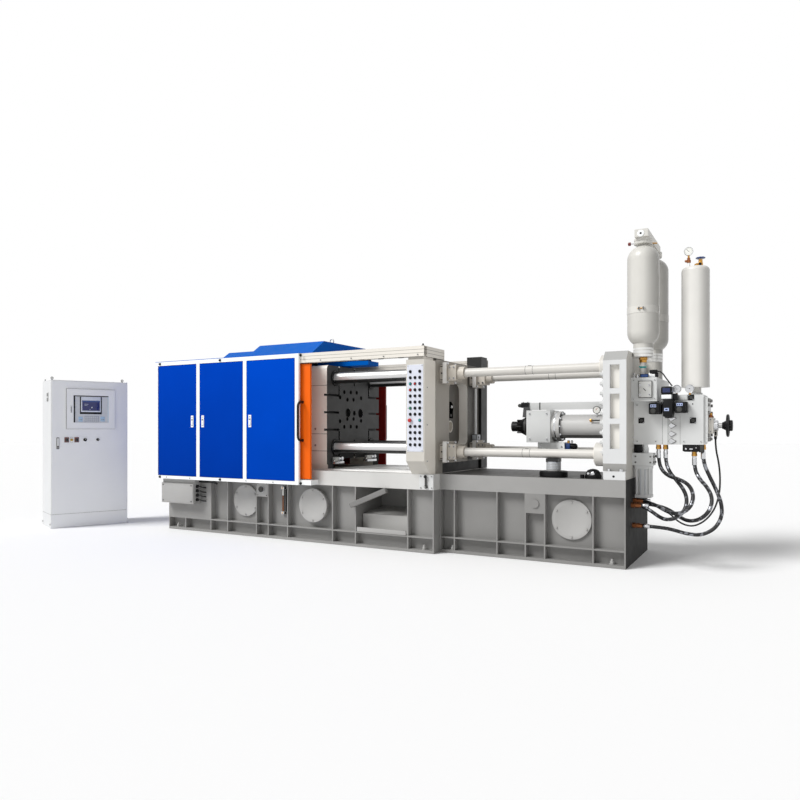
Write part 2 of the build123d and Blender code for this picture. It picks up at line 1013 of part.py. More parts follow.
# Post at the rear that carries the rear rail's end
with BuildPart() as rear_post:
    rear_post_left = console_right - rear_post_inset
    block(
        (rear_post_left, rear_post_left + rear_post_width),
        (platen_half + rear_post_gap, rail_y - rail_width / 2),
        (base_height, base_height + rear_post_height),
    )
write(rear_post, "rear_post")


def rod_places():
    """The four shot rod centres as (Y, Z)."""
    return [(y * rod_y, rod_z + z * rod_spread) for y in sides for z in sides]


# Clamps on the fixed platen, the rods they hold and the frame at the far end
plate_start = fixed_right + clamp_pad
block_start_x = plate_start + clamp_plate
neck_start = block_start_x + clamp_block_length
clamp_end = neck_start + clamp_neck_length

with BuildPart() as rod_clamps:
    for y, z in rod_places():
        for start, end, size in (
            (fixed_right, plate_start, clamp_pad_size),
            (plate_start, block_start_x, clamp_size),
            (block_start_x, neck_start, clamp_block),
        ):
            block((start, end), (y - size / 2, y + size / 2), (z - size / 2, z + size / 2))
        round_x((neck_start, clamp_end), y, z, clamp_neck_radius)
write(rod_clamps, "rod_clamps")

with BuildPart() as shot_rods:
    for y, z in rod_places():
        round_x((clamp_end, frame_left), y, z, rod_radius)
        collar_length = lower_collar_length if z < shot_z else upper_collar_length
        round_x((frame_left - collar_length, frame_left), y, z, collar_radius)
write(shot_rods, "shot_rods")

with BuildPart() as shot_frame:
    frame_half = shot_frame_width / 2
    frame_top = base_height + shot_frame_height
    block((frame_left, frame_right), (-frame_half, frame_half), (base_height, frame_top))
    chamfer(shot_frame.edges().filter_by(Axis.X).group_by(Axis.Z)[-1], shot_frame_chamfer)
    pocket_x = (frame_left + frame_right) / 2
    pocket_z = base_height + pocket_first
    for height in pocket_heights:
        for side in sides:
            block(
                (pocket_x - pocket_width / 2, pocket_x + pocket_width / 2),
                (side * frame_half, side * (frame_half - pocket_depth)),
                (pocket_z, pocket_z + height),
                Mode.SUBTRACT,
            )
        pocket_z += height + pocket_gap
    for side in sides:
        block(
            (frame_left + frame_foot_inset, frame_right),
            (side * frame_half, side * (frame_half + frame_foot_depth)),
            (base_height, base_height + frame_foot_height),
        )
write(shot_frame, "shot_frame")

# Shot cylinder: head block, flanged barrel and the moving plunger
block_left = base_step + block_start
block_right = block_left + block_length
barrel_left = block_right + flange_length
rod_bore = plunger_radius + slide_clearance
guide_left = block_right - guide_length
bar_bottom = shot_z + block_size / 2 + bar_lift

with BuildPart() as cylinder_head_block:
    half_block = block_size / 2
    block((block_left, block_right), (-half_block, half_block), (shot_z - half_block, shot_z + half_block))
    round_x((block_left, block_right), 0, shot_z, rod_bore, Mode.SUBTRACT)
    guide_half = bar_half + slide_clearance + guide_wall
    guide_top = bar_bottom + bar_height + slide_clearance + guide_wall
    block((guide_left, block_right), (-guide_half, guide_half), (shot_z + half_block, guide_top))
    block(
        (guide_left, block_right),
        (-bar_half - slide_clearance, bar_half + slide_clearance),
        (bar_bottom - slide_clearance, bar_bottom + bar_height + slide_clearance),
        Mode.SUBTRACT,
    )
write(cylinder_head_block, "cylinder_head_block")

with BuildPart() as shot_cylinder:
    round_x((block_right, barrel_left), 0, shot_z, flange_radius)
    round_x((barrel_left, frame_left), 0, shot_z, barrel_radius)
    bore_end = block_left + plunger_reach + coupling_gap
    round_x((block_right, bore_end), 0, shot_z, barrel_bore_radius, Mode.SUBTRACT)
write(shot_cylinder, "shot_cylinder")

coupling_right = block_left - coupling_gap
coupling_left = coupling_right - coupling_length
bar_right = frame_left - bar_end_gap
arm_left = coupling_right - arm_thickness

with BuildPart() as shot_plunger:
    round_x((coupling_left - tip_length, coupling_left), 0, shot_z, tip_radius)
    bell_length = coupling_length - coupling_flange
    with Locations((coupling_left + bell_length / 2, 0, shot_z)):
        Cone(tip_radius, coupling_radius, bell_length, rotation=(0, 90, 0))
    round_x((coupling_left + bell_length, coupling_right), 0, shot_z, coupling_radius)
    round_x((coupling_right, block_left + plunger_reach - coupling_gap), 0, shot_z, plunger_radius)
write(shot_plunger, "shot_plunger")

with BuildPart() as stroke_bar:
    block((arm_left, bar_right), (-bar_half, bar_half), (bar_bottom, bar_bottom + bar_height))
    with BuildSketch(Plane.YZ.offset(arm_left)):
        with BuildLine():
            Polyline(
                (-arm_half, shot_z + coupling_radius),
                (-bar_half, bar_bottom + bar_height),
                (bar_half, bar_bottom + bar_height),
                (arm_half, shot_z + coupling_radius),
                close=True,
            )
        make_face()
    extrude(amount=arm_thickness)
write(stroke_bar, "stroke_bar")

with BuildPart() as lower_valve_block:
    lower_left = block_left + lower_block_start
    lower_top = shot_z - block_size / 2
    block(
        (lower_left, lower_left + lower_block_length),
        (-lower_block_half, lower_block_half),
        (lower_top - lower_block_height, lower_top),
    )
write(lower_valve_block, "lower_valve_block")

# Jack that carries the lower front rod from the base
with BuildPart() as rod_jack:
    jack_x = base_step + jack_offset
    lower_rod_z = rod_z - rod_spread
    saddle_top = lower_rod_z - rod_radius - slide_clearance
    foot_top = base_height + jack_foot_height
    round_z(jack_x, -rod_y, (base_height, foot_top), jack_foot_radius)
    round_z(jack_x, -rod_y, (foot_top, saddle_top - jack_saddle_height), jack_post_radius)
    block(
        (jack_x - jack_saddle_half, jack_x + jack_saddle_half),
        (-rod_y - jack_saddle_half, -rod_y + jack_saddle_half),
        (saddle_top - jack_saddle_height, saddle_top),
    )
write(rod_jack, "rod_jack")

# Hydraulic manifolds on the frame's outer face
left_manifold_top = left_manifold_z + left_manifold_height
right_manifold_top = right_manifold_z + right_manifold_height

with BuildPart() as manifold_left:
    block(
        (frame_right, manifold_joint),
        (-manifold_front, manifold_back),
        (left_manifold_z, left_manifold_top),
    )
write(manifold_left, "manifold_left")

with BuildPart() as manifold_right:
    block(
        (manifold_joint, manifolds_end),
        (-manifold_front, manifold_back),
        (right_manifold_z, right_manifold_top),
    )
    block(
        (manifolds_end, manifolds_end + end_casting),
        (-manifold_front + end_casting_margin, manifold_back - end_casting_margin),
        (right_manifold_z + end_casting_margin, right_manifold_top - end_casting_margin),
    )
write(manifold_right, "manifold_right")

valve_block_top = left_manifold_top + valve_block_height

with BuildPart() as valve_block:
    block(
        (frame_right, frame_right + valve_block_length),
        (-valve_block_front, valve_block_back),
        (left_manifold_top, valve_block_top),
    )
write(valve_block, "valve_block")

# Two piston accumulators standing on the valve block
acc_x = frame_right + accumulator_x
acc_places = (-accumulator_front_y, accumulator_rear_y)
with BuildPart() as accumulators:
    for y in acc_places:
        round_z(acc_x, y, (accumulator_bottom, accumulator_top), accumulator_radius)
    fillet(accumulators.edges().filter_by(GeomType.CIRCLE), accumulator_dome)
    ring_bottom = accumulator_bottom - neck_ring_height
    for y, neck in zip(acc_places, (neck_stem_radius, rear_neck_radius)):
        round_z(acc_x, y, (ring_bottom, accumulator_bottom + accumulator_dome / 2), neck_ring_radius)
        round_z(acc_x, y, (valve_block_top, ring_bottom), neck)
write(accumulators, "accumulators")

with BuildPart() as accumulator_bridge:
    bridge_bottom = accumulator_top + bridge_gap
    block(
        (acc_x - bridge_half, acc_x + bridge_half),
        (acc_places[0] - bridge_overrun, acc_places[1] + bridge_overrun / 2),
        (bridge_bottom, bridge_bottom + bridge_height),
    )
    for y in acc_places:
        round_z(acc_x, y, (accumulator_top, bridge_bottom), bridge_stem_radius)
write(accumulator_bridge, "accumulator_bridge")

# Nitrogen bottle with its small valve wheel
gas_x = manifold_joint + bottle_x
valve_x = gas_x + bottle_valve_shift

with BuildPart() as nitrogen_bottle:
    round_z(gas_x, 0, (bottle_bottom, bottle_top), bottle_radius)
    fillet(nitrogen_bottle.edges().filter_by(GeomType.CIRCLE).group_by(Axis.Z)[-1], bottle_round)
    round_z(gas_x, 0, (right_manifold_top, bottle_bottom), bottle_neck_radius)
    round_z(valve_x, 0, (bottle_top, bottle_top + bottle_valve_height), bottle_valve_radius)
write(nitrogen_bottle, "nitrogen_bottle")

with BuildPart() as nitrogen_wheel:
    wheel_z = bottle_top + bottle_valve_height + slide_clearance
    with Locations((valve_x, 0, wheel_z + small_wheel_rim)):
        Torus(small_wheel_radius - small_wheel_rim, small_wheel_rim)
    round_z(valve_x, 0, (wheel_z, wheel_z + 2 * small_wheel_rim), bottle_valve_radius)
    for turn in (0, 90):
        with Locations(Location((valve_x, 0, wheel_z + small_wheel_rim), (0, 0, turn))):
            Box(2 * (small_wheel_radius - small_wheel_rim), small_wheel_rim, small_wheel_rim)
write(nitrogen_wheel, "nitrogen_wheel")

# Throttle housing on the right end and its handwheel
throttle_left = manifolds_end + end_casting
throttle_right = throttle_left + throttle_housing_length
hub_left = throttle_right + throttle_stem_length / 2

with BuildPart() as throttle_housing:
    half_housing = throttle_housing_size / 2
    block(
        (throttle_left, throttle_right),
        (-half_housing, half_housing),
        (throttle_z - half_housing, throttle_z + half_housing),
    )
    round_x((throttle_right, hub_left + throttle_stem_length), 0, throttle_z, throttle_stem_radius)
write(throttle_housing, "throttle_housing")

with BuildPart() as throttle_handwheel:
    wheel_x = hub_left + handwheel_hub_length / 2
    hub_right = hub_left + handwheel_hub_length
    round_x((hub_left, hub_right), 0, throttle_z, handwheel_hub_radius)
    with Locations(Location((wheel_x, 0, throttle_z), (0, 90, 0))):
        Torus(handwheel_radius - handwheel_rim, handwheel_rim)
    for turn in (0, 60, 120):
        with Locations(Location((wheel_x, 0, throttle_z), (turn, 0, 0))):
            Box(handwheel_rim, 2 * handwheel_rim, 2 * (handwheel_radius - handwheel_rim))
    stem_bore = throttle_stem_radius + bore_clearance
    round_x((hub_left, hub_left + throttle_stem_length), 0, throttle_z, stem_bore, Mode.SUBTRACT)
write(throttle_handwheel, "throttle_handwheel")

# Lift cylinder on its bracket
with BuildPart() as lift_cylinder:
    block(
        (frame_right, frame_right + lift_bracket_length),
        (-lift_y - lift_bracket_half, -lift_y + lift_bracket_half),
        (lift_bracket_z, lift_bracket_z + lift_bracket_height),
    )
    round_z(acc_x, -lift_y, (lift_cylinder_bottom, lift_bracket_z), lift_cylinder_radius)
write(lift_cylinder, "lift_cylinder")

# Solenoid valves on the manifolds' front, a pilot valve below and a valve on the top block
pilot_left = manifold_joint + pilot_valve_x
pilot_bottom = right_manifold_z - pilot_valve_height

with BuildPart() as solenoid_valves:
    for offset in (-solenoid_spread, solenoid_spread):
        x = manifold_joint + solenoid_shift + offset
        block(
            (x - solenoid_size / 2, x + solenoid_size / 2),
            (-manifold_front - solenoid_reach, -manifold_front),
            (solenoid_z - solenoid_size / 2, solenoid_z + solenoid_size / 2),
        )
    x = manifold_joint + solenoid_shift
    block(
        (x - coil_size / 2, x + coil_size / 2),
        (-manifold_front - solenoid_reach, -manifold_front),
        (solenoid_z - coil_drop, solenoid_z + coil_rise),
    )
    block(
        (pilot_left, pilot_left + pilot_valve_length),
        (-manifold_front, -manifold_front + pilot_valve_depth),
        (pilot_bottom, right_manifold_z),
    )
    block(
        (acc_x - top_valve_length / 2, acc_x + top_valve_length / 2),
        (-valve_block_front, -valve_block_front + top_valve_depth),
        (valve_block_top, valve_block_top + top_valve_height),
    )
    block(
        (acc_x - cover_plate_width / 2, acc_x + cover_plate_width / 2),
        (-valve_block_front - cover_plate_thickness, -valve_block_front),
        (valve_block_top - cover_plate_height - cover_plate_drop, valve_block_top - cover_plate_drop),
    )
write(solenoid_valves, "solenoid_valves")

# Dial gauges standing on the right manifold
with BuildPart() as pressure_gauges:
    dial_y = (-manifold_front, -manifold_front + dial_thickness)
    dial_z = right_manifold_top + dial_stem + dial_radius
    for offset in (dial_first, dial_first + dial_pitch):
        x = manifold_joint + offset
        round_y(x, dial_y, dial_z, dial_radius)
        round_z(x, sum(dial_y) / 2, (right_manifold_top, dial_z - dial_radius / 2), dial_stem_radius)
write(pressure_gauges, "pressure_gauges")

# Hose fittings under the valves and on the end of the base
with BuildPart() as hose_fittings:
    for x, bottom, top in (
        (hose_1_route[0][0], hose_1_route[0][2], left_manifold_z),
        (hose_2_route[0][0], hose_2_route[0][2], left_manifold_z),
        (hose_3_route[0][0], hose_3_route[0][2], pilot_bottom),
        (hose_4_route[0][0], hose_4_route[0][2], right_manifold_z),
    ):
        round_z(x, hose_1_route[0][1], (bottom, top), fitting_radius)
    gland_x, gland_y, gland_z = cable_1_route[0]
    round_z(gland_x, gland_y, (gland_z, throttle_z - throttle_housing_size / 2), gland_radius)
    for route in (hose_1_route, hose_2_route, hose_3_route, hose_4_route):
        round_x((base_right, route[-1][0] + fitting_overlap), route[-1][1], route[-1][2], fitting_radius)
    end_x, end_y, end_z = cable_1_route[-1]
    round_x((base_right, end_x + fitting_overlap), end_y, end_z, gland_radius)
write(hose_fittings, "hose_fittings")


def corner_radii(route):
    """The largest tangent arc that each corner of a route has room for."""
    radii = []
    for before, corner, after in zip(route, route[1:], route[2:]):
        arriving = Vector(*corner) - Vector(*before)
        leaving = Vector(*after) - Vector(*corner)
        turn = math.radians(arriving.get_angle(leaving))
        radii.append(run_share * min(arriving.length, leaving.length) / math.tan(turn / 2))
    return radii


# Hoses and a cable that hang free between their fittings
for name, route, radius in (
    ("hose_1", hose_1_route, hose_radius),
    ("hose_2", hose_2_route, hose_radius),
    ("hose_3", hose_3_route, hose_radius),
    ("hose_4", hose_4_route, hose_radius),
    ("cable_1", cable_1_route, cable_radius),
):
    radii = corner_radii(route)
    print(name, "bend radii", [round(value) for value in radii])
    with BuildPart() as hose:
        with BuildLine() as path:
            FilletPolyline(*route, radius=radii)
        center_line = path.wire()
        with BuildSketch(Plane(origin=center_line @ 0, z_dir=center_line % 0)):
            Circle(radius)
        sweep(path=center_line)
    section = math.pi * radius**2
    share = hose.part.volume / (section * center_line.length)
    print(name, "length", round(center_line.length), "volume over section times length", round(share, 4))
    write(hose, name)

# Junction box on the flush end of the clamp side's front
with BuildPart() as junction_box:
    box_front = -clamp_half - junction_box_depth
    block(
        (base_left, base_left + junction_box_length),
        (box_front, -clamp_half),
        (junction_box_z, junction_box_z + junction_box_height),
    )
    tray_z = junction_box_z + junction_box_height
    block(
        (base_left, base_left + junction_box_length),
        (box_front + tray_bar_height / 2, -clamp_half),
        (tray_z, tray_z + tray_bar_height),
    )
write(junction_box, "junction_box")

# Oil sight gauge on the tank's front web, and the filler cap on a plate between two ribs
with BuildPart() as tank_fittings:
    gauge_right = clamp_ribs[4] - gauge_gap
    block(
        (gauge_right - gauge_width, gauge_right),
        (-clamp_web - gauge_depth, -clamp_web),
        (gauge_z, gauge_z + gauge_length),
    )
    filler_x = (clamp_ribs[2] + clamp_ribs[3]) / 2
    block(
        (clamp_ribs[2] + rib / 2, clamp_ribs[3] - rib / 2),
        (-clamp_half, -clamp_half + filler_plate),
        (apron_bottom - filler_plate_height, apron_bottom),
    )
    round_y(filler_x, (-clamp_half - filler_length, -clamp_half), filler_z, filler_radius)
write(tank_fittings, "tank_fittings")

# Control cabinet in its own turned frame: x across its front, y into it
cabinet_plane = Plane(
    origin=(cabinet_corner[0], cabinet_corner[1], 0),
    x_dir=(math.cos(math.radians(cabinet_turn)), math.sin(math.radians(cabinet_turn)), 0),
    z_dir=(0, 0, 1),
)
leaf_left = cabinet_door_margin
leaf_right = cabinet_width - cabinet_door_margin
leaf_bottom = cabinet_plinth + cabinet_lug + cabinet_door_gap
leaf_top = cabinet_height - cabinet_lug - cabinet_door_gap
leaf_front = -cabinet_door_gap - cabinet_door_thickness
leaf_pivot_x = leaf_right - cabinet_door_thickness / 2
leaf_pivot_y = -cabinet_door_gap - cabinet_door_thickness / 2

with BuildPart(cabinet_plane) as cabinet_body:
    block((0, cabinet_width), (0, cabinet_depth), (0, cabinet_height))
    block(
        (cabinet_wall, cabinet_width - cabinet_wall),
        (0, cabinet_depth - cabinet_wall),
        (cabinet_plinth + cabinet_wall, cabinet_height - cabinet_wall),
        Mode.SUBTRACT,
    )
    lug_x = (leaf_pivot_x - cabinet_door_thickness / 2, leaf_right)
    for lug_z, tip_z in (
        ((cabinet_plinth, cabinet_plinth + cabinet_lug), leaf_bottom + cabinet_pin_length),
        ((cabinet_height - cabinet_lug, cabinet_height), leaf_top - cabinet_pin_length),
    ):
        block(lug_x, (leaf_front, 0), lug_z)
        round_z(leaf_pivot_x, leaf_pivot_y, (lug_z[0], tip_z), cabinet_pin_radius)
write(cabinet_body, "cabinet_body")

window_left = (cabinet_width - window_width) / 2
window_top = leaf_top - window_drop
window_bottom = window_top - window_height

with BuildPart(cabinet_plane) as cabinet_door:
    block((leaf_left, leaf_pivot_x), (leaf_front, -cabinet_door_gap), (leaf_bottom, leaf_top))
    round_z(leaf_pivot_x, leaf_pivot_y, (leaf_bottom, leaf_top), cabinet_door_thickness / 2)
    leaf_bore = cabinet_pin_radius + bore_clearance
    bore_depth = cabinet_pin_length + cabinet_door_gap
    round_z(leaf_pivot_x, leaf_pivot_y, (leaf_bottom, leaf_bottom + bore_depth), leaf_bore, Mode.SUBTRACT)
    round_z(leaf_pivot_x, leaf_pivot_y, (leaf_top - bore_depth, leaf_top), leaf_bore, Mode.SUBTRACT)
write(cabinet_door, "cabinet_door")

with BuildPart(cabinet_plane) as operator_window:
    window_front = leaf_front - window_depth
    block((window_left, window_left + window_width), (window_front, leaf_front), (window_bottom, window_top))
    block(
        (window_left + window_rim, window_left + window_width - window_rim),
        (window_front, window_front + window_depth / 2),
        (window_bottom + window_rim, window_top - window_rim),
        Mode.SUBTRACT,
    )
write(operator_window, "operator_window")

with BuildPart(cabinet_plane) as cabinet_switches:
    switch_z = window_bottom - switch_drop
    for x in switch_places:
        round_y(x, (leaf_front - switch_length, leaf_front), switch_z, switch_radius)
write(cabinet_switches, "cabinet_switches")
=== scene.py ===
import itertools
import json
import math

import bmesh
import bpy
from mathutils import Matrix, Vector


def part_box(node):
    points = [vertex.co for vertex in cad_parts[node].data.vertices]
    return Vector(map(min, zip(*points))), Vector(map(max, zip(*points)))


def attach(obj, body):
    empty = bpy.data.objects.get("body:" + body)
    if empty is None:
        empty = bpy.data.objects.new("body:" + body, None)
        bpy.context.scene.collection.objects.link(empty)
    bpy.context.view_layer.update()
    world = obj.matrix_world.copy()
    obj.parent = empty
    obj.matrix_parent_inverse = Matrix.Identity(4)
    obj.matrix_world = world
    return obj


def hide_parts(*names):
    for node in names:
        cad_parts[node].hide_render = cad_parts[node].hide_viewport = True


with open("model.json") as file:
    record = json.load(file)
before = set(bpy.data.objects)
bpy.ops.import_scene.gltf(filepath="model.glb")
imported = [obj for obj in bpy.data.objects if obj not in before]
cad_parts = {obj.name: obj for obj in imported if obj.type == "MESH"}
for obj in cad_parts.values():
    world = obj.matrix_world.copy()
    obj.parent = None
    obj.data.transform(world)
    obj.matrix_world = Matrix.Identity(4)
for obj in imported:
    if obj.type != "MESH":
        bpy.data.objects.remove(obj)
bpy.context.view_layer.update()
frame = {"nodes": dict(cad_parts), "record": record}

nodes = frame["nodes"]
scene = bpy.context.scene
X = Vector((1, 0, 0))
Y = Vector((0, 1, 0))
Z = Vector((0, 0, 1))


# Colours and surfaces, with places in metres


def srgb(red, green, blue):
    """A display colour, 0 to 255 a channel, as linear light."""
    linear = []
    for value in (red, green, blue):
        share = value / 255
        linear.append(share / 12.92 if share <= 0.04045 else ((share + 0.055) / 1.055) ** 2.4)
    return (*linear, 1.0)


class Shader:
    """One material's node tree, built up from its place in the object."""

    def __init__(self, name):
        self.material = bpy.data.materials.new(name)
        self.material.use_nodes = True
        self.tree = self.material.node_tree
        self.main = self.tree.nodes["Principled BSDF"]
        self.coordinates = self.tree.nodes.new("ShaderNodeTexCoord")

    def node(self, kind, inputs=None, **settings):
        made = self.tree.nodes.new(kind)
        for key, value in settings.items():
            setattr(made, key, value)
        for key, value in (inputs or {}).items():
            self.feed(made, key, value)
        return made

    def feed(self, node, key, value):
        if isinstance(value, bpy.types.NodeSocket):
            self.tree.links.new(value, node.inputs[key])
        else:
            node.inputs[key].default_value = value

    def math(self, operation, first, second=0.0):
        return self.node("ShaderNodeMath", {0: first, 1: second}, operation=operation).outputs[0]

    def mix(self, share, first, second):
        made = self.node("ShaderNodeMix", data_type="RGBA")
        self.feed(made, 0, share)
        self.feed(made, 6, first)
        self.feed(made, 7, second)
        return made.outputs[2]

    def place(self, stretch=(1, 1, 1)):
        source = self.coordinates.outputs["Object"]
        return self.node("ShaderNodeMapping", {"Vector": source, "Scale": stretch}).outputs[0]

    def noise(self, scale, detail=3.0, stretch=(1, 1, 1)):
        inputs = {"Vector": self.place(stretch), "Scale": scale, "Detail": detail}
        return self.node("ShaderNodeTexNoise", inputs).outputs["Fac"]

    def remap(self, value, low, high, start, end):
        made = self.node("ShaderNodeMapRange", {0: value, 1: low, 2: high, 3: start, 4: end})
        return made.outputs[0]

    def where(self, conditions):
        """1 where every condition holds, such as "x>0.2 ny<-0.5", and 0 elsewhere."""
        spot = self.node("ShaderNodeSeparateXYZ", {0: self.coordinates.outputs["Object"]})
        facing = self.node("ShaderNodeSeparateXYZ", {0: self.coordinates.outputs["Normal"]})
        mask = None
        for condition in conditions.split():
            sign = ">" if ">" in condition else "<"
            axis, limit = condition.split(sign)
            source = facing if axis.startswith("n") else spot
            value = source.outputs[axis[-1].upper()]
            test = self.math("GREATER_THAN" if sign == ">" else "LESS_THAN", value, float(limit))
            mask = test if mask is None else self.math("MULTIPLY", mask, test)
        return mask


def surface(name, color, rough=0.42, metal=0.0, mottle=0.05, spread=2.5, grain=0.015, fine=220.0,
            streak=(1, 1, 1), coat=0.0, gleam=0.4, zones=(), painted_height_shade=None, painted_side_shades=()):
    """A paint, metal or plastic whose tone, gloss and skin vary a little over the piece; zones set other
    tones in parts, some of them painted light or shade, and its tone can be scaled by height and by facing as
    painted shade.
    """
    made = Shader(name)
    main = made.main
    main.inputs["Base Color"].default_value = color
    main.inputs["Roughness"].default_value = rough
    main.inputs["Metallic"].default_value = metal
    main.inputs["Specular IOR Level"].default_value = gleam
    main.inputs["Coat Weight"].default_value = coat
    main.inputs["Coat Roughness"].default_value = 0.12
    tone = made.noise(spread, 5.0, streak)
    shade = color
    gloss = rough
    for zone_color, zone_rough, conditions in zones:
        mask = made.where(conditions)
        shade = made.mix(mask, shade, zone_color)
        gloss = made.math("ADD", made.math("MULTIPLY", made.math("SUBTRACT", zone_rough, gloss), mask), gloss)
    level = made.remap(tone, 0.25, 0.75, 1.0 - mottle, 1.0 + mottle)
    # Painted shade: the tone is scaled by height, darker towards the bottom.
    if painted_height_shade:
        spot = made.node("ShaderNodeSeparateXYZ", {0: made.coordinates.outputs["Object"]})
        level = made.math("MULTIPLY", level, made.remap(spot.outputs["Z"], *painted_height_shade))
    # Painted shade: the tone is scaled by the x of each face's normal, darker on faces turned to the sides.
    for painted_side_shade in painted_side_shades:
        facing = made.node("ShaderNodeSeparateXYZ", {0: made.coordinates.outputs["Normal"]})
        level = made.math("MULTIPLY", level, made.remap(facing.outputs["X"], *painted_side_shade))
    value = made.node("ShaderNodeHueSaturation", {"Value": level, "Color": shade})
    made.feed(main, "Base Color", value.outputs[0])
    swing = made.remap(made.noise(spread * 4, 4.0, streak), 0.3, 0.7, -0.05, 0.06)
    made.feed(main, "Roughness", made.math("ADD", gloss, swing))
    bump = made.node("ShaderNodeBump", {"Strength": grain, "Distance": 0.002})
    made.feed(bump, "Height", made.noise(fine, 2.0, streak))
    made.feed(main, "Normal", bump.outputs[0])
    return made.material


def hose_surface(name):
    """Black hose cover with scuffed silver patches."""
    made = Shader(name)
    main = made.main
    main.inputs["Base Color"].default_value = srgb(28, 28, 30)
    main.inputs["Roughness"].default_value = 0.35
    patches = made.remap(made.noise(26.0, 6.0), 0.54, 0.60, 0.0, 1.0)
    made.feed(main, "Base Color", made.mix(patches, srgb(20, 20, 22), srgb(150, 152, 158)))
    made.feed(main, "Roughness", made.remap(patches, 0.0, 1.0, 0.42, 0.24))
    made.feed(main, "Metallic", made.math("MULTIPLY", patches, 0.6))
    bump = made.node("ShaderNodeBump", {"Strength": 0.25, "Distance": 0.003})
    made.feed(bump, "Height", made.noise(60.0, 4.0))
    made.feed(main, "Normal", bump.outputs[0])
    return made.material


BLUE = srgb(0, 60, 172)
ROOF_BLUE = srgb(0, 94, 190)
WHITE = srgb(242, 244, 244)
BEIGE = srgb(226, 221, 212)
BASE_GREY = srgb(164, 163, 161)
LIGHT_GREY = srgb(206, 207, 206)
DARK = srgb(58, 58, 56)
BLACK = srgb(22, 22, 23)
PLATEN_SEAM = srgb(160, 154, 146)
RAIL_SEAM = srgb(150, 146, 138)

# The blue enamel darkens towards the bottom as painted shade.
blue = surface("blue_enamel_painted_shade", BLUE, 0.36, gleam=0.01, mottle=0.04, painted_height_shade=(0.7, 2.05, 0.74, 1.06))
roof_blue = surface("roof_enamel", ROOF_BLUE, 0.38, gleam=0.03, mottle=0.05)
white = surface("white_enamel", WHITE, 0.4, mottle=0.02)
beige = surface("beige_enamel", BEIGE, 0.42, mottle=0.04)
base_grey = surface("base_enamel", BASE_GREY, 0.5, mottle=0.06)
light_grey = surface("light_grey_enamel", LIGHT_GREY, 0.45, mottle=0.05)
dark = surface("dark_enamel", DARK, 0.5, mottle=0.1)
black = surface("black_moulding", srgb(13, 13, 14), 0.38, gleam=0.22, mottle=0.12, grain=0.03)
# Near black, without gloss, for the inside of holes: painted shade for their depth.
hole_black = surface("hole_black", srgb(5, 5, 5), 0.9, gleam=0.0, mottle=0.2)
rubber = surface("black_rubber", srgb(30, 30, 31), 0.62, mottle=0.15, grain=0.06)
steel = surface("ground_steel", srgb(176, 176, 175), 0.3, 0.9, mottle=0.1, spread=6.0, streak=(0.15, 1, 1))
bright_steel = surface("bright_steel", srgb(205, 206, 208), 0.22, 1.0, mottle=0.06, spread=8.0)
# Tie bar chrome: the dark bands on its upward and downward faces are painted reflections of the dark parts
# round the bars.
chrome = surface(
    "chrome_plate", srgb(212, 212, 212), 0.34, 0.55, mottle=0.04, spread=5.0, streak=(0.1, 1, 1),
    zones=[(srgb(70, 70, 70), 0.3, "nz>0.72"), (srgb(52, 52, 52), 0.3, "nz<-0.45")],
)
brass = surface("brass_fitting", srgb(190, 142, 70), 0.28, 1.0, mottle=0.12, spread=18.0)
copper = surface("copper_fitting", srgb(146, 92, 58), 0.34, 0.9, mottle=0.12, spread=18.0)
hose_cover = hose_surface("hose_cover")

# The moving platen's beige is painted lighter than its paint, painted light for its shaded front side; the
# three thin front bands are seam lines.
moving_platen_painted_light = surface(
    "moving_platen_painted_light", srgb(246, 241, 233), 0.45, mottle=0.05,
    zones=[
        (PLATEN_SEAM, 0.5, "ny<-0.5 z>1.774 z<1.781"),
        (PLATEN_SEAM, 0.5, "ny<-0.5 z>1.219 z<1.226"),
        (PLATEN_SEAM, 0.5, "ny<-0.5 z>1.023 z<1.030"),
        (srgb(44, 44, 44), 0.5, "nx>0.5"),
        (BLACK, 0.6, "x<-0.4705 x>-0.56 y>-0.53 z>0.94 z<2.0"),
        (srgb(8, 8, 8), 0.8, "nx>0.5 z<1.022 y>-0.46"),
    ],
)
safety_front_skin = surface(
    "front_door_enamel", srgb(238, 100, 6), 0.38, gleam=0.15, mottle=0.04,
    zones=[(BLACK, 0.35, "y<-0.8455")],
)
# The rear door is orange like the front door; its dark red is painted shade.
rear_door_shaded_orange = surface(
    "rear_door_orange_painted_shade", srgb(120, 16, 12), 0.4, gleam=0.2, mottle=0.08,
    zones=[(BLACK, 0.35, "y>0.8455")],
)
rear_wall_skin = surface(
    "rear_wall_enamel", WHITE, 0.4, gleam=0.03, mottle=0.02,
    zones=[(BLUE, 0.36, "y>0.8905")],
)
clamp_base_skin = surface(
    "clamp_base_enamel", srgb(139, 138, 136), 0.5, mottle=0.06,
    zones=[(srgb(200, 199, 196), 0.48, "z>0.651")],
)
# Lighter above z 0.651; the upward faces above z 0.7 are darker as painted shadow, and the +x end face is
# near black as painted shade.
shot_base_with_painted_shade = surface(
    "shot_base_enamel_painted_shade", srgb(131, 130, 128), 0.5, mottle=0.06,
    zones=[
        (srgb(150, 149, 147), 0.5, "z>0.651"),
        (srgb(62, 61, 59), 0.5, "nz>0.5 z>0.7"),
        (srgb(14, 13, 11), 0.8, "nx>0.5 x>2.8"),
    ],
)
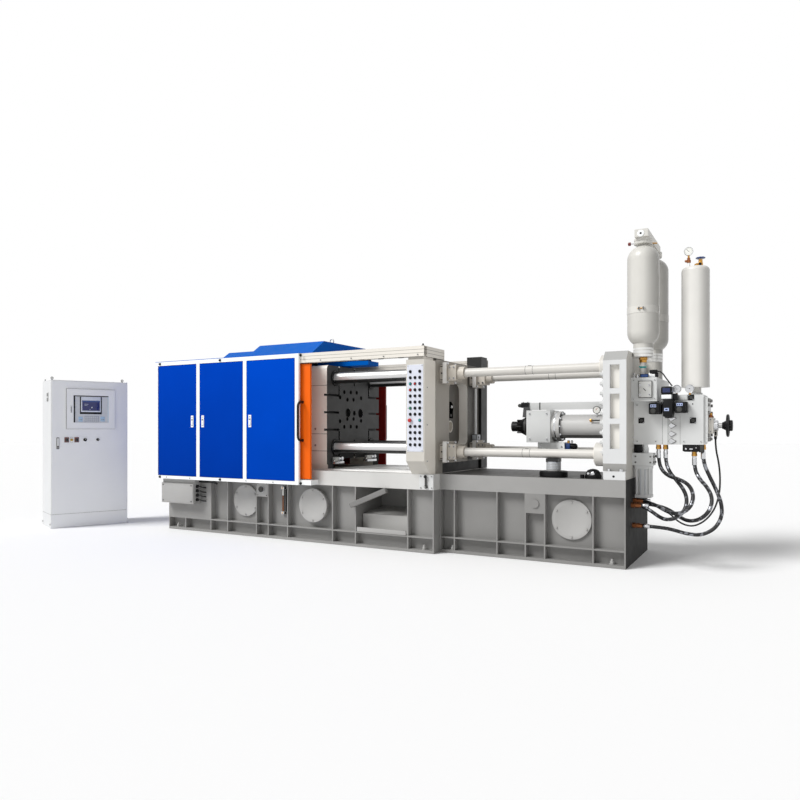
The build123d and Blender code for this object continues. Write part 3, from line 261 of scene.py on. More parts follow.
# Painted light and shade on the +x face: it is darker as painted shade, darker again past y 0.25, darker on
# the recess floor as painted shade, lighter on the recess's rear wall as painted light, and near black below
# z 0.912 as painted shadow.
fixed_platen_painted_shade = surface(
    "fixed_platen_enamel_painted_shade", BEIGE, 0.45, mottle=0.05,
    zones=[
        (srgb(156, 150, 141), 0.48, "nx>0.5 x>0.7"),
        (srgb(74, 71, 66), 0.5, "nx>0.5 x>0.7 y>0.25"),
        (srgb(88, 84, 78), 0.5, "nx>0.5 x>0.7 x<0.9"),
        (srgb(246, 242, 235), 0.4, "ny<-0.3 x>0.8055 y>0.1"),
        (srgb(20, 19, 18), 0.6, "nx>0.5 x>0.7 z<0.912 y>-0.42"),
    ],
)
# Painted shade on the shot frame: upward faces are darker, the front face is darker from z 0.889 to 0.958,
# and the +x end face is darker; front faces between y -0.52 and 0 are lighter.
shot_frame_painted_shade = surface(
    "shot_frame_enamel_painted_shade", srgb(210, 211, 211), 0.45, mottle=0.04,
    zones=[
        (srgb(168, 168, 166), 0.48, "nz>0.4"),
        (srgb(150, 149, 146), 0.5, "ny<-0.5 z>0.889 z<0.958"),
        (srgb(192, 189, 182), 0.5, "nx>0.5 x>2.8"),
        (srgb(226, 223, 216), 0.48, "ny<-0.5 nz<0.3 y>-0.52 y<0.0"),
    ],
)
rod_cream = surface("rod_cream", srgb(208, 205, 199), 0.36, mottle=0.03)
# Painted shade: the shot cylinder's underside is darker.
cylinder_painted_shade = surface(
    "cylinder_enamel_painted_shade", srgb(196, 195, 193), 0.42, mottle=0.04,
    zones=[(srgb(112, 111, 109), 0.45, "nz<-0.72")],
)
# Lit and shaded tones of one beige: the +x side is painted lighter than the front, as painted light.
console_painted_light = surface(
    "console_enamel_painted_light", srgb(198, 194, 186), 0.44, mottle=0.04,
    zones=[(srgb(236, 230, 220), 0.44, "nx>0.5")],
)
panel_white = surface("panel_white", srgb(212, 215, 226), 0.34, mottle=0.03)
# Painted light: the cabinet's front, which faces +x, is painted lighter than its other faces to offset the
# shade it stands in.
cabinet_painted_light = surface(
    "cabinet_enamel_painted_light", srgb(208, 209, 210), 0.42, mottle=0.025,
    zones=[(srgb(248, 249, 250), 0.42, "nx>0.5")],
)
bed_skin = surface("bed_plate_steel", srgb(252, 252, 250), 0.42, 0.0, mottle=0.08, spread=6.0)
# Painted light: the chute is painted lighter than the base grey to offset the shade it stands in.
chute_painted_light = surface("chute_enamel_painted_light", srgb(178, 177, 174), 0.48, mottle=0.05)
# Two thin seam lines on the sides, and the undersides darker as painted shade.
rail_with_painted_shade = surface(
    "rail_enamel_painted_shade", BEIGE, 0.42, mottle=0.04,
    zones=[
        (RAIL_SEAM, 0.45, "nz<0.5 z>2.083 z<2.0875"),
        (RAIL_SEAM, 0.45, "nz<0.5 z>2.048 z<2.0525"),
        (srgb(112, 108, 102), 0.5, "nz<-0.5"),
    ],
)
# A lighter band on the front face, and the +x faces darker as painted shade.
rod_clamp_painted_shade = surface(
    "rod_clamp_enamel_painted_shade", srgb(206, 199, 188), 0.44, mottle=0.05,
    zones=[
        (srgb(246, 244, 240), 0.4, "ny<-0.5 x>0.955 x<1.0015"),
        (srgb(170, 162, 150), 0.46, "nx>0.5"),
    ],
)
stroke_bar_skin = surface(
    "stroke_bar_enamel", srgb(220, 221, 220), 0.42, mottle=0.04,
    zones=[(BLACK, 0.4, "x<1.7405")],
)
jack_skin = surface(
    "jack_enamel", srgb(26, 26, 27), 0.42, mottle=0.1,
    zones=[(srgb(172, 172, 171), 0.36, "z>0.853 z<0.953 nz<0.5")],
)
manifold_skin = surface("manifold_enamel", srgb(230, 231, 230), 0.44, mottle=0.04)
# Painted shade: the accumulators and the bottle darken on faces turned to the sides, so their middles read as
# lit.
vessel_painted_shade = surface(
    "vessel_enamel_painted_shade", srgb(204, 202, 196), 0.34, mottle=0.04, coat=0.15,
    painted_side_shades=[(0.2, 0.95, 1.0, 0.58), (-1.0, -0.55, 0.72, 1.0)],
)
bottle_painted_shade = surface(
    "bottle_enamel_painted_shade", srgb(220, 218, 213), 0.34, mottle=0.04, coat=0.15,
    painted_side_shades=[(0.25, 0.95, 1.0, 0.66), (-1.0, -0.3, 0.66, 1.0)],
)
bridge_skin = surface("bridge_enamel", srgb(206, 204, 198), 0.42, mottle=0.04)
# Painted light: the lower valve block is painted near white to offset the shade it stands in.
lower_block_painted_light = surface("lower_block_enamel_painted_light", srgb(246, 247, 246), 0.4, mottle=0.04)
post_dark = surface("post_enamel", srgb(20, 20, 19), 0.5, mottle=0.1)
# The right door's blue darkens towards the bottom as painted shade.
right_door_blue_painted_shade = surface(
    "right_door_enamel_painted_shade", srgb(0, 68, 186), 0.36, gleam=0.01, mottle=0.04, painted_height_shade=(0.7, 2.05, 0.8, 1.06),
)

looks = {
    "base_clamp_side": clamp_base_skin,
    "base_shot_side": shot_base_with_painted_shade,
    "inspection_covers": base_grey,
    "drop_chute": chute_painted_light,
    "bed_plates": bed_skin,
    "moving_platen": moving_platen_painted_light,
    "fixed_platen": fixed_platen_painted_shade,
    "thrust_platen": beige,
    "tie_bars": chrome,
    "guard_frame": white,
    "guard_door_left": blue,
    "guard_door_middle": blue,
    "guard_door_right": right_door_blue_painted_shade,
    "guard_end_panel": blue,
    "guard_rear_wall": rear_wall_skin,
    "roof_cover": roof_blue,
    "top_rails": rail_with_painted_shade,
    "top_cross_rail": rail_with_painted_shade,
    "safety_door_front": safety_front_skin,
    "safety_door_rear": rear_door_shaded_orange,
    "console_post": console_painted_light,
    "button_panel": panel_white,
    "push_buttons": black,
    "latch_plate": light_grey,
    "latch_lever": dark,
    "rear_post": post_dark,
    "rod_clamps": rod_clamp_painted_shade,
    "shot_rods": rod_cream,
    "shot_frame": shot_frame_painted_shade,
    "cylinder_head_block": light_grey,
    "shot_cylinder": cylinder_painted_shade,
    "shot_plunger": black,
    "stroke_bar": stroke_bar_skin,
    "lower_valve_block": lower_block_painted_light,
    "rod_jack": jack_skin,
    "manifold_left": manifold_skin,
    "manifold_right": light_grey,
    "valve_block": light_grey,
    "accumulators": vessel_painted_shade,
    "accumulator_bridge": bridge_skin,
    "nitrogen_bottle": bottle_painted_shade,
    "nitrogen_wheel": blue,
    "throttle_housing": beige,
    "throttle_handwheel": black,
    "lift_cylinder": light_grey,
    "solenoid_valves": black,
    "pressure_gauges": bright_steel,
    "hose_fittings": brass,
    "junction_box": base_grey,
    "tank_fittings": dark,
    "cabinet_body": cabinet_painted_light,
    "cabinet_door": cabinet_painted_light,
    "operator_window": cabinet_painted_light,
    "cabinet_switches": black,
}
for name, look in looks.items():
    nodes[name].data.materials.clear()
    nodes[name].data.materials.append(look)


# Shapes, all in millimetres

MM = 0.001


def box_of(name):
    """The low and high corner of a node's box."""
    low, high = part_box(name)
    return low / MM, high / MM


def solid_boxes(name):
    """The box of each separate solid in a node, from left to right."""
    shape = bmesh.new()
    shape.from_mesh(nodes[name].data)
    bmesh.ops.remove_doubles(shape, verts=shape.verts, dist=1e-5)
    left = set(shape.verts)
    boxes = []
    while left:
        start = left.pop()
        island = [start]
        queue = [start]
        while queue:
            for edge in queue.pop().link_edges:
                for vert in edge.verts:
                    if vert in left:
                        left.discard(vert)
                        island.append(vert)
                        queue.append(vert)
        low = Vector([min(vert.co[i] for vert in island) for i in range(3)])
        high = Vector([max(vert.co[i] for vert in island) for i in range(3)])
        boxes.append((low, high))
    shape.free()
    boxes.sort(key=lambda pair: (round(pair[0].x, 3), round(pair[0].y, 3), pair[0].z))
    return [(low / MM, high / MM) for low, high in boxes]


class Maker:
    """Collects shapes of several materials into one piece."""

    def __init__(self, place=Matrix.Identity(4)):
        self.shape = bmesh.new()
        self.materials = []
        self.place = place

    def paint(self, faces, material):
        if material not in self.materials:
            self.materials.append(material)
        for face in faces:
            face.material_index = self.materials.index(material)
            face.smooth = True

    def box(self, low, high, material, bevel=0.0, turn=None):
        low = Vector(low)
        high = Vector(high)
        middle = Matrix.Translation((low + high) / 2)
        size = Matrix.Diagonal((*(high - low), 1))
        place = self.place @ middle @ (turn or Matrix()) @ size
        made = bmesh.ops.create_cube(self.shape, size=1.0, matrix=place)
        faces = {face for vert in made["verts"] for face in vert.link_faces}
        self.paint(faces, material)
        if bevel:
            edges = {edge for vert in made["verts"] for edge in vert.link_edges}
            bmesh.ops.bevel(
                self.shape, geom=list(edges), offset=bevel, segments=2, profile=0.6, affect="EDGES",
                clamp_overlap=True,
            )

    def block(self, middle, half, material, bevel=0, turn=None):
        """A box about its middle, from half its size."""
        self.box(Vector(middle) - Vector(half), Vector(middle) + Vector(half), material, bevel, turn)

    def lathe(self, at, axis, profile, material, sides=32, closed=False):
        """Turns (radius, distance along the axis) points about an axis through a point."""
        turn = Z.rotation_difference(Vector(axis)).to_matrix().to_4x4()
        place = self.place @ Matrix.Translation(at) @ turn
        rings = []
        for radius, along in profile:
            if radius < 1e-6:
                rings.append([self.shape.verts.new(place @ Vector((0, 0, along)))])
                continue
            ring = []
            for i in range(sides):
                angle = 2 * math.pi * i / sides
                spot = Vector((radius * math.cos(angle), radius * math.sin(angle), along))
                ring.append(self.shape.verts.new(place @ spot))
            rings.append(ring)
        if closed:
            rings.append(rings[0])
        faces = []
        for one, two in zip(rings, rings[1:]):
            for i in range(sides):
                k = (i + 1) % sides
                corners = []
                for vert in (one[i % len(one)], one[k % len(one)], two[k % len(two)], two[i % len(two)]):
                    if vert not in corners:
                        corners.append(vert)
                if len(corners) > 2:
                    faces.append(self.shape.faces.new(corners))
        for ring in (rings[0], rings[-1]):
            if len(ring) > 2 and not closed:
                faces.append(self.shape.faces.new(ring))
        self.paint(faces, material)

    def disc(self, at, axis, radius, rise, material, sides=20, sink=2):
        """A flat plug that stands out of a face."""
        self.lathe(at, axis, [(radius, -sink), (radius, rise), (0, rise)], material, sides)

    def prism(self, outline, axis, start, end, material):
        """A flat outline pushed from start to end along an axis; the outline is in the other two axes."""
        index = "xyz".index(axis)
        rings = []
        for along in (start, end):
            ring = []
            for first, second in outline:
                spot = [first, second]
                spot.insert(index, along)
                ring.append(self.shape.verts.new(self.place @ Vector(spot)))
            rings.append(ring)
        faces = [self.shape.faces.new(rings[0]), self.shape.faces.new(rings[1])]
        for i in range(len(outline)):
            k = (i + 1) % len(outline)
            faces.append(self.shape.faces.new((rings[0][i], rings[0][k], rings[1][k], rings[1][i])))
        self.paint(faces, material)

    def tube(self, points, radius, material, sides=12):
        points = [Vector(point) for point in points]
        rings = []
        side = None
        for i, point in enumerate(points):
            ahead = points[min(i + 1, len(points) - 1)]
            behind = points[max(i - 1, 0)]
            along = (ahead - behind).normalized()
            if side is None:
                side = along.orthogonal().normalized()
            side = (side - along * side.dot(along)).normalized()
            across = along.cross(side)
            ring = []
            for k in range(sides):
                angle = 2 * math.pi * k / sides
                spot = point + radius * (side * math.cos(angle) + across * math.sin(angle))
                ring.append(self.shape.verts.new(self.place @ spot))
            rings.append(ring)
        faces = [self.shape.faces.new(rings[0]), self.shape.faces.new(rings[-1])]
        for one, two in zip(rings, rings[1:]):
            for k in range(sides):
                n = (k + 1) % sides
                faces.append(self.shape.faces.new((one[k], one[n], two[n], two[k])))
        self.paint(faces, material)

    def eye(self, at, radius, wire, material, count):
        """An upright ring of wire about a point."""
        loop = []
        for k in range(count + 1):
            angle = 2 * math.pi * k / count
            loop.append(Vector(at) + radius * Vector((math.cos(angle), 0, math.sin(angle))))
        self.tube(loop, wire, material, 10)

    def dial_scale(self, face, radius, tick, needle, lean):
        """Eleven ticks and a needle on a dial that faces the front."""
        for k in range(11):
            turn = Matrix.Rotation(math.radians(-135 + 27 * k), 4, "Y")
            self.block(face + turn @ Vector((0, 0, radius)), tick, dark, 0, turn)
        turn = Matrix.Rotation(math.radians(lean), 4, "Y")
        self.block(face + Vector((0, -0.8, 0)) + turn @ Vector((0, 0, 9)), needle, dark, 0, turn)

    def bolt(self, at, axis, across, material):
        """A hexagon head on a washer."""
        radius = across / math.sqrt(3)
        at = Vector(at)
        axis = Vector(axis)
        self.lathe(at, axis, [(radius * 1.25, 0), (radius * 1.25, across * 0.1)], material, 20)
        top = across * 0.72
        profile = [(radius, across * 0.1), (radius, top - across * 0.08), (radius * 0.88, top)]
        self.lathe(at, axis, profile, material, 6)

    def screw(self, at, axis, radius, material, socket=None):
        """A round socket head with a dark key hole, its dark painted shade for the hole's depth."""
        at = Vector(at)
        axis = Vector(axis)
        height = radius * 0.9
        profile = [(radius, 0), (radius, height * 0.88), (radius * 0.9, height), (radius * 0.5, height)]
        self.lathe(at, axis, [*profile, (radius * 0.5, height * 0.4), (0, height * 0.4)], material, 18)
        if socket:
            self.lathe(at + axis * height * 0.42, axis, [(radius * 0.47, 0), (0, 0.1)], socket, 6)

    def bolts(self, spots, axis, across, material):
        for spot in spots:
            self.bolt(spot, axis, across, material)

    def screws(self, spots, axis, radius, material, socket=None):
        for spot in spots:
            self.screw(spot, axis, radius, material, socket)

    def done(self, name, body, slot, *replaced):
        bmesh.ops.recalc_face_normals(self.shape, faces=self.shape.faces)
        bmesh.ops.scale(self.shape, vec=(MM, MM, MM), verts=self.shape.verts)
        mesh = bpy.data.meshes.new(name)
        self.shape.to_mesh(mesh)
        self.shape.free()
        for material in self.materials:
            mesh.materials.append(material)
        mesh.set_sharp_from_angle(angle=math.radians(32))
        piece = bpy.data.objects.new(name, mesh)
        scene.collection.objects.link(piece)
        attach(piece, body)
        if replaced:
            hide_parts(*replaced)
        return piece


# Hoses and cable, in metres

hose_routes = {
    "hose_1": (0.034, 1.491, [
        (3.045, -0.120, 1.070), (3.045, -0.120, 0.975), (3.078, -0.162, 0.890), (3.155, -0.250, 0.838),
        (3.255, -0.350, 0.822), (3.345, -0.445, 0.785), (3.395, -0.540, 0.715), (3.392, -0.610, 0.620),
        (3.320, -0.605, 0.545), (3.220, -0.530, 0.525), (3.130, -0.420, 0.545), (3.045, -0.305, 0.575),
        (2.925, -0.220, 0.595),
    ]),
    "hose_2": (0.034, 1.240, [
        (3.108, -0.120, 1.070), (3.108, -0.120, 0.970), (3.145, -0.165, 0.880), (3.215, -0.255, 0.810),
        (3.285, -0.350, 0.745), (3.332, -0.440, 0.665), (3.330, -0.515, 0.570), (3.260, -0.535, 0.490),
        (3.165, -0.490, 0.460), (3.085, -0.415, 0.480), (3.015, -0.355, 0.520), (2.925, -0.320, 0.560),
    ]),
    "hose_3": (0.034, 1.387, [
        (3.360, -0.120, 1.010), (3.360, -0.120, 0.910), (3.405, -0.165, 0.820), (3.485, -0.270, 0.750),
        (3.535, -0.375, 0.665), (3.520, -0.440, 0.560), (3.440, -0.435, 0.475), (3.335, -0.370, 0.445),
        (3.240, -0.255, 0.470), (3.150, -0.150, 0.515), (3.040, -0.095, 0.545), (2.925, -0.080, 0.555),
    ]),
    "hose_4": (0.034, 1.383, [
        (3.435, -0.120, 1.070), (3.435, -0.120, 0.970), (3.490, -0.125, 0.840), (3.550, -0.140, 0.715),
        (3.595, -0.155, 0.590), (3.595, -0.175, 0.470), (3.535, -0.200, 0.365), (3.425, -0.220, 0.305),
        (3.300, -0.240, 0.315), (3.170, -0.250, 0.350), (3.040, -0.258, 0.362), (2.925, -0.260, 0.364),
    ]),
    "cable_1": (0.016, 1.404, [
        (3.530, 0.000, 1.200), (3.530, 0.000, 1.100), (3.560, 0.005, 0.955), (3.570, 0.015, 0.805),
        (3.560, 0.030, 0.655), (3.515, 0.040, 0.510), (3.430, 0.038, 0.400), (3.325, 0.032, 0.345),
        (3.215, 0.028, 0.375), (3.125, 0.030, 0.460), (3.035, 0.038, 0.520), (2.925, 0.042, 0.537),
    ]),
}
for name, (diameter, length, route) in hose_routes.items():
    curve = bpy.data.curves.new(name + "_line", "CURVE")
    curve.dimensions = "3D"
    spline = curve.splines.new("NURBS")
    spline.points.add(len(route) - 1)
    for point, spot in zip(spline.points, route):
        point.co = (*spot, 1)
    spline.order_u = 3
    spline.use_endpoint_u = True
    spline.resolution_u = 10
    curve.bevel_depth = diameter / 2
    curve.bevel_resolution = 5
    curve.use_fill_caps = True
    line = bpy.data.objects.new(name + "_line", curve)
    scene.collection.objects.link(line)
    curve.materials.append(rubber if name.startswith("cable") else hose_cover)
    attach(line, "machine")
    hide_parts(name)
    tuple(route[0])


# Base fittings


def moulded(name, *color):
    """A glossy plastic cap."""
    return surface(name, srgb(*color), 0.34, coat=0.3, mottle=0.08, spread=20.0)


red = moulded("red_cap", 176, 26, 24)
green = moulded("green_cap", 30, 120, 92)
teal = moulded("teal_cap", 40, 140, 140)
navy = moulded("navy_cap", 18, 24, 66)
yellow = moulded("yellow_cap", 214, 170, 40)
amber = surface("amber_oil", srgb(122, 70, 26), 0.12, coat=0.6, mottle=0.12, spread=14.0)
dial_white = surface("dial_face", srgb(236, 236, 230), 0.3, coat=0.5, mottle=0.03, spread=30.0)
valve_blue = surface("valve_blue", srgb(24, 62, 120), 0.35, coat=0.2, mottle=0.08, spread=12.0)
pale_patch = surface("pale_patch", srgb(176, 190, 226), 0.4, mottle=0.1, spread=60.0)
shade_grey = surface("shade_grey", srgb(120, 119, 117), 0.5, mottle=0.08, spread=8.0)
valve_navy = surface("valve_navy", srgb(22, 36, 84), 0.32, coat=0.3, mottle=0.1, spread=14.0)
plate_silver = surface("plate_silver", srgb(194, 194, 191), 0.36, 0.35, mottle=0.06, spread=10.0)
flange_silver = surface("flange_silver", srgb(222, 222, 220), 0.34, 0.45, mottle=0.05, spread=10.0)
# Painted shade: the straps darken on faces turned to the sides.
strap_white = surface(
    "strap_white", srgb(212, 210, 204), 0.3, coat=0.3, mottle=0.03,
    painted_side_shades=[(0.2, 0.95, 1.0, 0.6), (-1.0, -0.55, 0.74, 1.0)],
)
red_brown = surface("red_brown_cap", srgb(112, 44, 40), 0.4, mottle=0.1, spread=24.0)
switch_red = moulded("switch_red", 146, 16, 26)
panel_pale = surface("panel_pale", srgb(212, 215, 220), 0.3, mottle=0.03, spread=6.0)
panel_grey = surface("panel_grey", srgb(180, 184, 190), 0.34, mottle=0.05, spread=10.0)
pale_blue = surface("pale_blue", srgb(178, 206, 230), 0.3, mottle=0.08, spread=14.0)
screen_bezel = surface("screen_bezel", srgb(222, 228, 240), 0.3, mottle=0.03, spread=10.0)
screen_navy = surface("screen_navy", srgb(8, 26, 100), 0.12, coat=0.5, mottle=0.12, spread=8.0)
screen_blue = surface("screen_blue", srgb(20, 60, 132), 0.12, coat=0.5, mottle=0.1, spread=8.0)


def ring_spots(at, facing, radius, count, start=90.0):
    """Points on a circle about a point, in the plane that faces a way."""
    turn = Z.rotation_difference(Vector(facing)).to_matrix()
    for k in range(count):
        angle = math.radians(start + 360 * k / count)
        yield Vector(at) + turn @ Vector((radius * math.cos(angle), radius * math.sin(angle), 0))


def around(middle, half):
    """The two places at one distance from a middle."""
    return (middle - half, middle + half)


def inside(low, high, inset):
    """The two places at one distance inside a low and a high end."""
    return (low + inset, high - inset)


def spaced(start, end, count):
    """Evenly spaced places from start to end."""
    return tuple(start + (end - start) * k / (count - 1) for k in range(count))


def grid(*places):
    """Every spot with one of the places given for x, y and z, each a number or several."""
    lists = [each if isinstance(each, tuple) else (each,) for each in places]
    return [Vector(spot) for spot in itertools.product(*lists)]


covers = Maker()
for low, high in solid_boxes("inspection_covers"):
    middle = (low + high) / 2
    facing = -Y if middle.y < 0 else Y
    face = Vector((middle.x, low.y if middle.y < 0 else high.y, middle.z))
    radius = (high.z - low.z) / 2
    rim = [(radius * 0.985, -2), (radius * 0.985, 3), (radius * 0.76, 3), (radius * 0.74, 1)]
    covers.lathe(face, facing, [*rim, (0, 1)], base_grey, 56)
    covers.bolts(ring_spots(face + 3 * facing, facing, radius * 0.87, 6), facing, 17, base_grey)
covers.done("cover_bolts", "machine", "grey_paint")

anchors = Maker()
for mount in frame["record"]["mounts"]:
    if mount["kind"] == "bolt_pattern":
        x, y, z = Vector(mount["pos_m"]) / MM
        half_x = mount["dims"]["spacing_x_mm"] / 2
        half_y = mount["dims"]["spacing_y_mm"] / 2
        for spot in grid(around(x, half_x), around(y, half_y), z):
            anchors.bolt(spot, Z, 36, base_grey)
            anchors.lathe(spot, Z, [(12, 0), (12, 44), (9, 48)], base_grey, 20)
anchors.done("anchor_nuts", "machine", "machined_steel")

tank = Maker()
(low, high), (gauge_low, gauge_high) = solid_boxes("tank_fittings")
plate_front = high.y - 12
tank.box((low.x, plate_front, low.z), high, base_grey, 2)
cap_at = Vector(((low.x + high.x) / 2, plate_front, 568))
tank.lathe(cap_at, -Y, [(36, 0), (36, 12), (32, 14)], bright_steel, 32)
tank.lathe(cap_at - 12 * Y, -Y, [(34, 0), (34, 18), (29, 24), (0, 26)], dark, 14)
plate_corners = grid(inside(low.x, high.x, 16), plate_front, inside(low.z, high.z, 16))
tank.screws(plate_corners, -Y, 7, shade_grey, black)
low = gauge_low
high = gauge_high
glass_x = (low.x + high.x) / 2 - 8
tank.box((low.x, high.y - 16, low.z), high, black, 3)
tank.box((high.x - 20, low.y, low.z + 30), (high.x, high.y, high.z - 30), black, 3)
glass_at = (glass_x, high.y - 22, low.z + 30)
oil_level = 190
tank.lathe(glass_at, Z, [(12, 0), (12, oil_level)], amber, 20)
tank.lathe(glass_at, Z, [(11.5, oil_level), (11.5, high.z - low.z - 60)], dial_white, 20)
for end in (low.z, high.z - 34):
    tank.box((low.x + 4, low.y, end), (high.x - 20, high.y, end + 34), bright_steel, 4)
    tank.screw((glass_x, low.y, end + 17), -Y, 8, brass, black)
tank.done("tank_gauge_and_filler", "machine", "dark_paint", "tank_fittings")

low, high = box_of("junction_box")
lid_top = 594
lid_face = low.y - 4
junction = Maker()
junction.box((low.x + 12, lid_face, low.z + 12), (high.x - 12, low.y + 6, lid_top), base_grey, 3)
lid_corners = grid(inside(low.x, high.x, 30), lid_face, (low.z + 30, lid_top - 18))
junction.screws(lid_corners, -Y, 8, shade_grey, black)
gland = [(20, -4), (20, 12), (16, 14), (16, 30), (11, 36)]
lead = [(30, 0, 0), (60, 0, 0), (85, 20, -12), (95, 62, -20)]
for k in range(4):
    out = Vector((high.x, (low.y + high.y) / 2, low.z + 50 + 55 * k))
    junction.lathe(out, X, gland, black, 12)
    junction.tube([out + Vector(step) for step in lead], 8, rubber, 10)
main_lead = [(-20, -745, 622), (200, -745, 622), (240, -742, 620), (270, -735, 612), (280, -728, 600)]
junction.tube([(high.x + along, y, z) for along, y, z in main_lead], 11, rubber, 12)
junction.done("junction_lid_and_glands", "machine", "light_grey_paint")

low, high = box_of("drop_chute")
chute = Maker()
start = Vector((low.x - 55, -757, 448))
end = Vector((low.x + 385, -757, 630))
slope = math.atan2(end.z - start.z, end.x - start.x)
turn = Matrix.Rotation(-slope, 4, "Y")
chute.block((start + end) / 2, ((end - start).length / 2, 25, 27.5), shade_grey, 3, turn)
# The bar's open mouth is a black block, painted shade for its inside.
mouth = start - Vector((math.cos(slope), 0, math.sin(slope)))
chute.block(mouth, (4, 19, 21), black, 0, turn)
chute.box((low.x + 2, -735, low.z + 1), (high.x - 2, -722, low.z + 50), base_grey, 2)
chute.done("chute_guide_bar", "machine", "grey_paint")


# Guard doors, roof and rails


def flush_handle(name, body, x, face, z):
    """A pull with a sunk grip and a key; a grey patch behind the grip is painted shade for the sunk recess.
    """
    pull = Maker()
    pull.box((x - 21, face - 5, z - 72), (x + 21, face + 2, z + 72), white, 4)
    # Painted shade: the grey patch stands for the shade in the grip's recess.
    pull.box((x - 13, face - 5.8, z - 52), (x + 13, face - 4, z + 30), shade_grey, 0.4)
    pull.box((x - 11, face - 9, z - 45), (x + 11, face - 4, z + 12), white, 3)
    pull.lathe((x, face - 5, z + 50), -Y, [(8, 0), (8, 3), (3, 3), (0, 1)], steel, 20)
    pull.done(name, body, "white_paint")


handle_z = 1370
for door, inset in (("left", -62), ("middle", 50), ("right", 50)):
    low, high = box_of("guard_door_" + door)
    x = high.x + inset if inset < 0 else low.x + inset
    flush_handle(door + "_door_pull", door + "_guard_door", x, low.y, handle_z)

low, high = box_of("guard_frame")
guard = Maker()
sill_z = low.z + 19
frame_bolt_x = (low.x + 84, low.x + 1097, high.x - 118)
guard.bolts(grid(frame_bolt_x, low.y, (high.z - 23, sill_z)), -Y, 22, black)
sill_screw_x = (low.x + 200, low.x + 600, low.x + 1500, low.x + 1900)
guard.screws(grid(sill_screw_x, low.y, sill_z), -Y, 7, steel, black)
low, high = box_of("guard_rear_wall")
rear_bolt_x = spaced(low.x + 60, high.x - 60, 9)
guard.bolts(grid(rear_bolt_x, high.y - 10, inside(low.z, high.z, 30)), Y, 20, steel)
low, high = box_of("guard_end_panel")
end_bolt_y = spaced(low.y + 50, high.y - 50, 7)
guard.bolts(grid(low.x, end_bolt_y, inside(low.z, high.z, 30)), -X, 20, steel)
guard.done("guard_bolts", "machine", "dark_paint")

roof = Maker()
eye_at = Vector((-800, 0, box_of("roof_cover")[1].z))
roof.lathe(eye_at, Z, [(26, -4), (26, 6), (16, 12), (12, 20)], steel, 24)
roof.eye(eye_at + 42 * Z, 26, 7, steel, 24)
roof.done("roof_lifting_eye", "machine", "machined_steel")

shoulder = Maker()
roof_right = -670
roof_sheet = 2126
overlap = 2
for left, rise, inner, outer in ((-2050, 114, 460, 662), (-1650, 194, 340, 580)):
    top = roof_sheet + rise
    section = [(inner, roof_sheet - 1), (inner, top), (outer, top), (780, roof_sheet - 1)]
    shoulder.prism(section, "x", left - overlap, roof_right + overlap, roof_blue)
shoulder.screws(grid((-1900, -1500, -1100, -750), 840, roof_sheet), Z, 9, steel, black)
shoulder.done("roof_rear_shoulder", "machine", "roof_blue_paint")

low, high = box_of("safety_door_front")
door_front = -845
door_back = -815
door_top = 2005
door = Maker()
door.box((low.x, door_front, low.z), (high.x, door_back, door_top), safety_front_skin, 3)
for x in (low.x + 120, high.x - 220):
    door.box((x, door_front + 4, door_top - 2), (x + 100, door_back - 4, high.z), dark, 2)
handle_x = -612
handle_middle = 1364
handle_top = 1578
bow = [(2, handle_top), (-46, handle_top), (-72, 1568), (-87, 1545), (-90, 1515)]
bow += [(out, 2 * handle_middle - z) for out, z in reversed(bow)]
door.tube([(handle_x, door_front + out, z) for out, z in bow], 13, black, 16)
for z in (handle_top, 2 * handle_middle - handle_top):
    door.lathe((handle_x, door_front, z), -Y, [(16.5, -1), (16.5, 8), (13.5, 12)], black, 24)
door.done("front_door_panel", "front_safety_door", "orange_paint", "safety_door_front")

rail = Maker()
low, high = box_of("top_rails")
rail_screw_x = spaced(high.x - 70, high.x - 1270, 4)
for y, facing in ((low.y, -Y), (high.y, Y)):
    rail.screws(grid(rail_screw_x, y, low.z + 18), facing, 8, steel, black)
rail.lathe((high.x - 40, low.y + 60, high.z), Z, [(16, -2), (16, 10), (8, 14), (8, 28)], black, 20)
for x in spaced(high.x - 300, high.x - 1260, 5):
    rail.box((x, low.y + 2, low.z - 10), (x + 60, low.y + 18, low.z + 1), black, 2)
rail.done("rail_fittings", "machine", "dark_paint")


# Platens

low, high = box_of("moving_platen")
face = high.x
tie_boxes = solid_boxes("tie_bars")
tie_spots = [((one.y + two.y) / 2, (one.z + two.z) / 2) for one, two in tie_boxes]
tie_radius = (tie_boxes[0][1].y - tie_boxes[0][0].y) / 2
bush_inner = tie_radius + 4
platen = Maker()
ejector_holes = (
    (-222, 1715), (-81, 1718), (53, 1719), (-312, 1650), (150, 1658), (-154, 1628), (-19, 1631),
    (-157, 1398), (-19, 1399), (-312, 1370), (150, 1378), (-222, 1304), (-81, 1306), (53, 1303),
)
# Ejector holes: a dark rim round a near-black disc, the disc painted shade for each hole's depth.
for y, z in ejector_holes:
    platen.lathe((face, y, z), X, [(26, -1), (26, 0.8), (22, 1.2), (21, 0.4)], dark, 24)
    platen.disc((face, y, z), X, 23.5, 1.4, hole_black, 24, 0)
for y, z in tie_spots:
    bush = [(bush_inner, -6), (bush_inner, 14), (90, 14), (94.5, 9), (94.5, -6)]
    platen.lathe((face, y, z), X, bush, black, 48, closed=True)
    platen.screws(ring_spots((face + 9, y, z), X, 83.5, 6, 30.0), X, 6, shade_grey)
for z in (1280, 1090):
    platen.disc((face - 160, low.y, z), -Y, 12, 4, steel)
shoe_cap = [(28, -20), (28, 0), (18, 4), (18, 60)]
for left, right in ((-500, -310), (200, 430)):
    platen.box((face, left, 872), (face + 60, right, 905), bright_steel, 4)
    platen.box((face, left + 30, 904), (face + 35, right - 50, 955), plate_silver, 4)
    platen.lathe((face + 30, right - 30, 930), -Y, shoe_cap, bright_steel, 20)
    platen.bolt((face + 30, left + 20, 905), Z, 24, bright_steel)
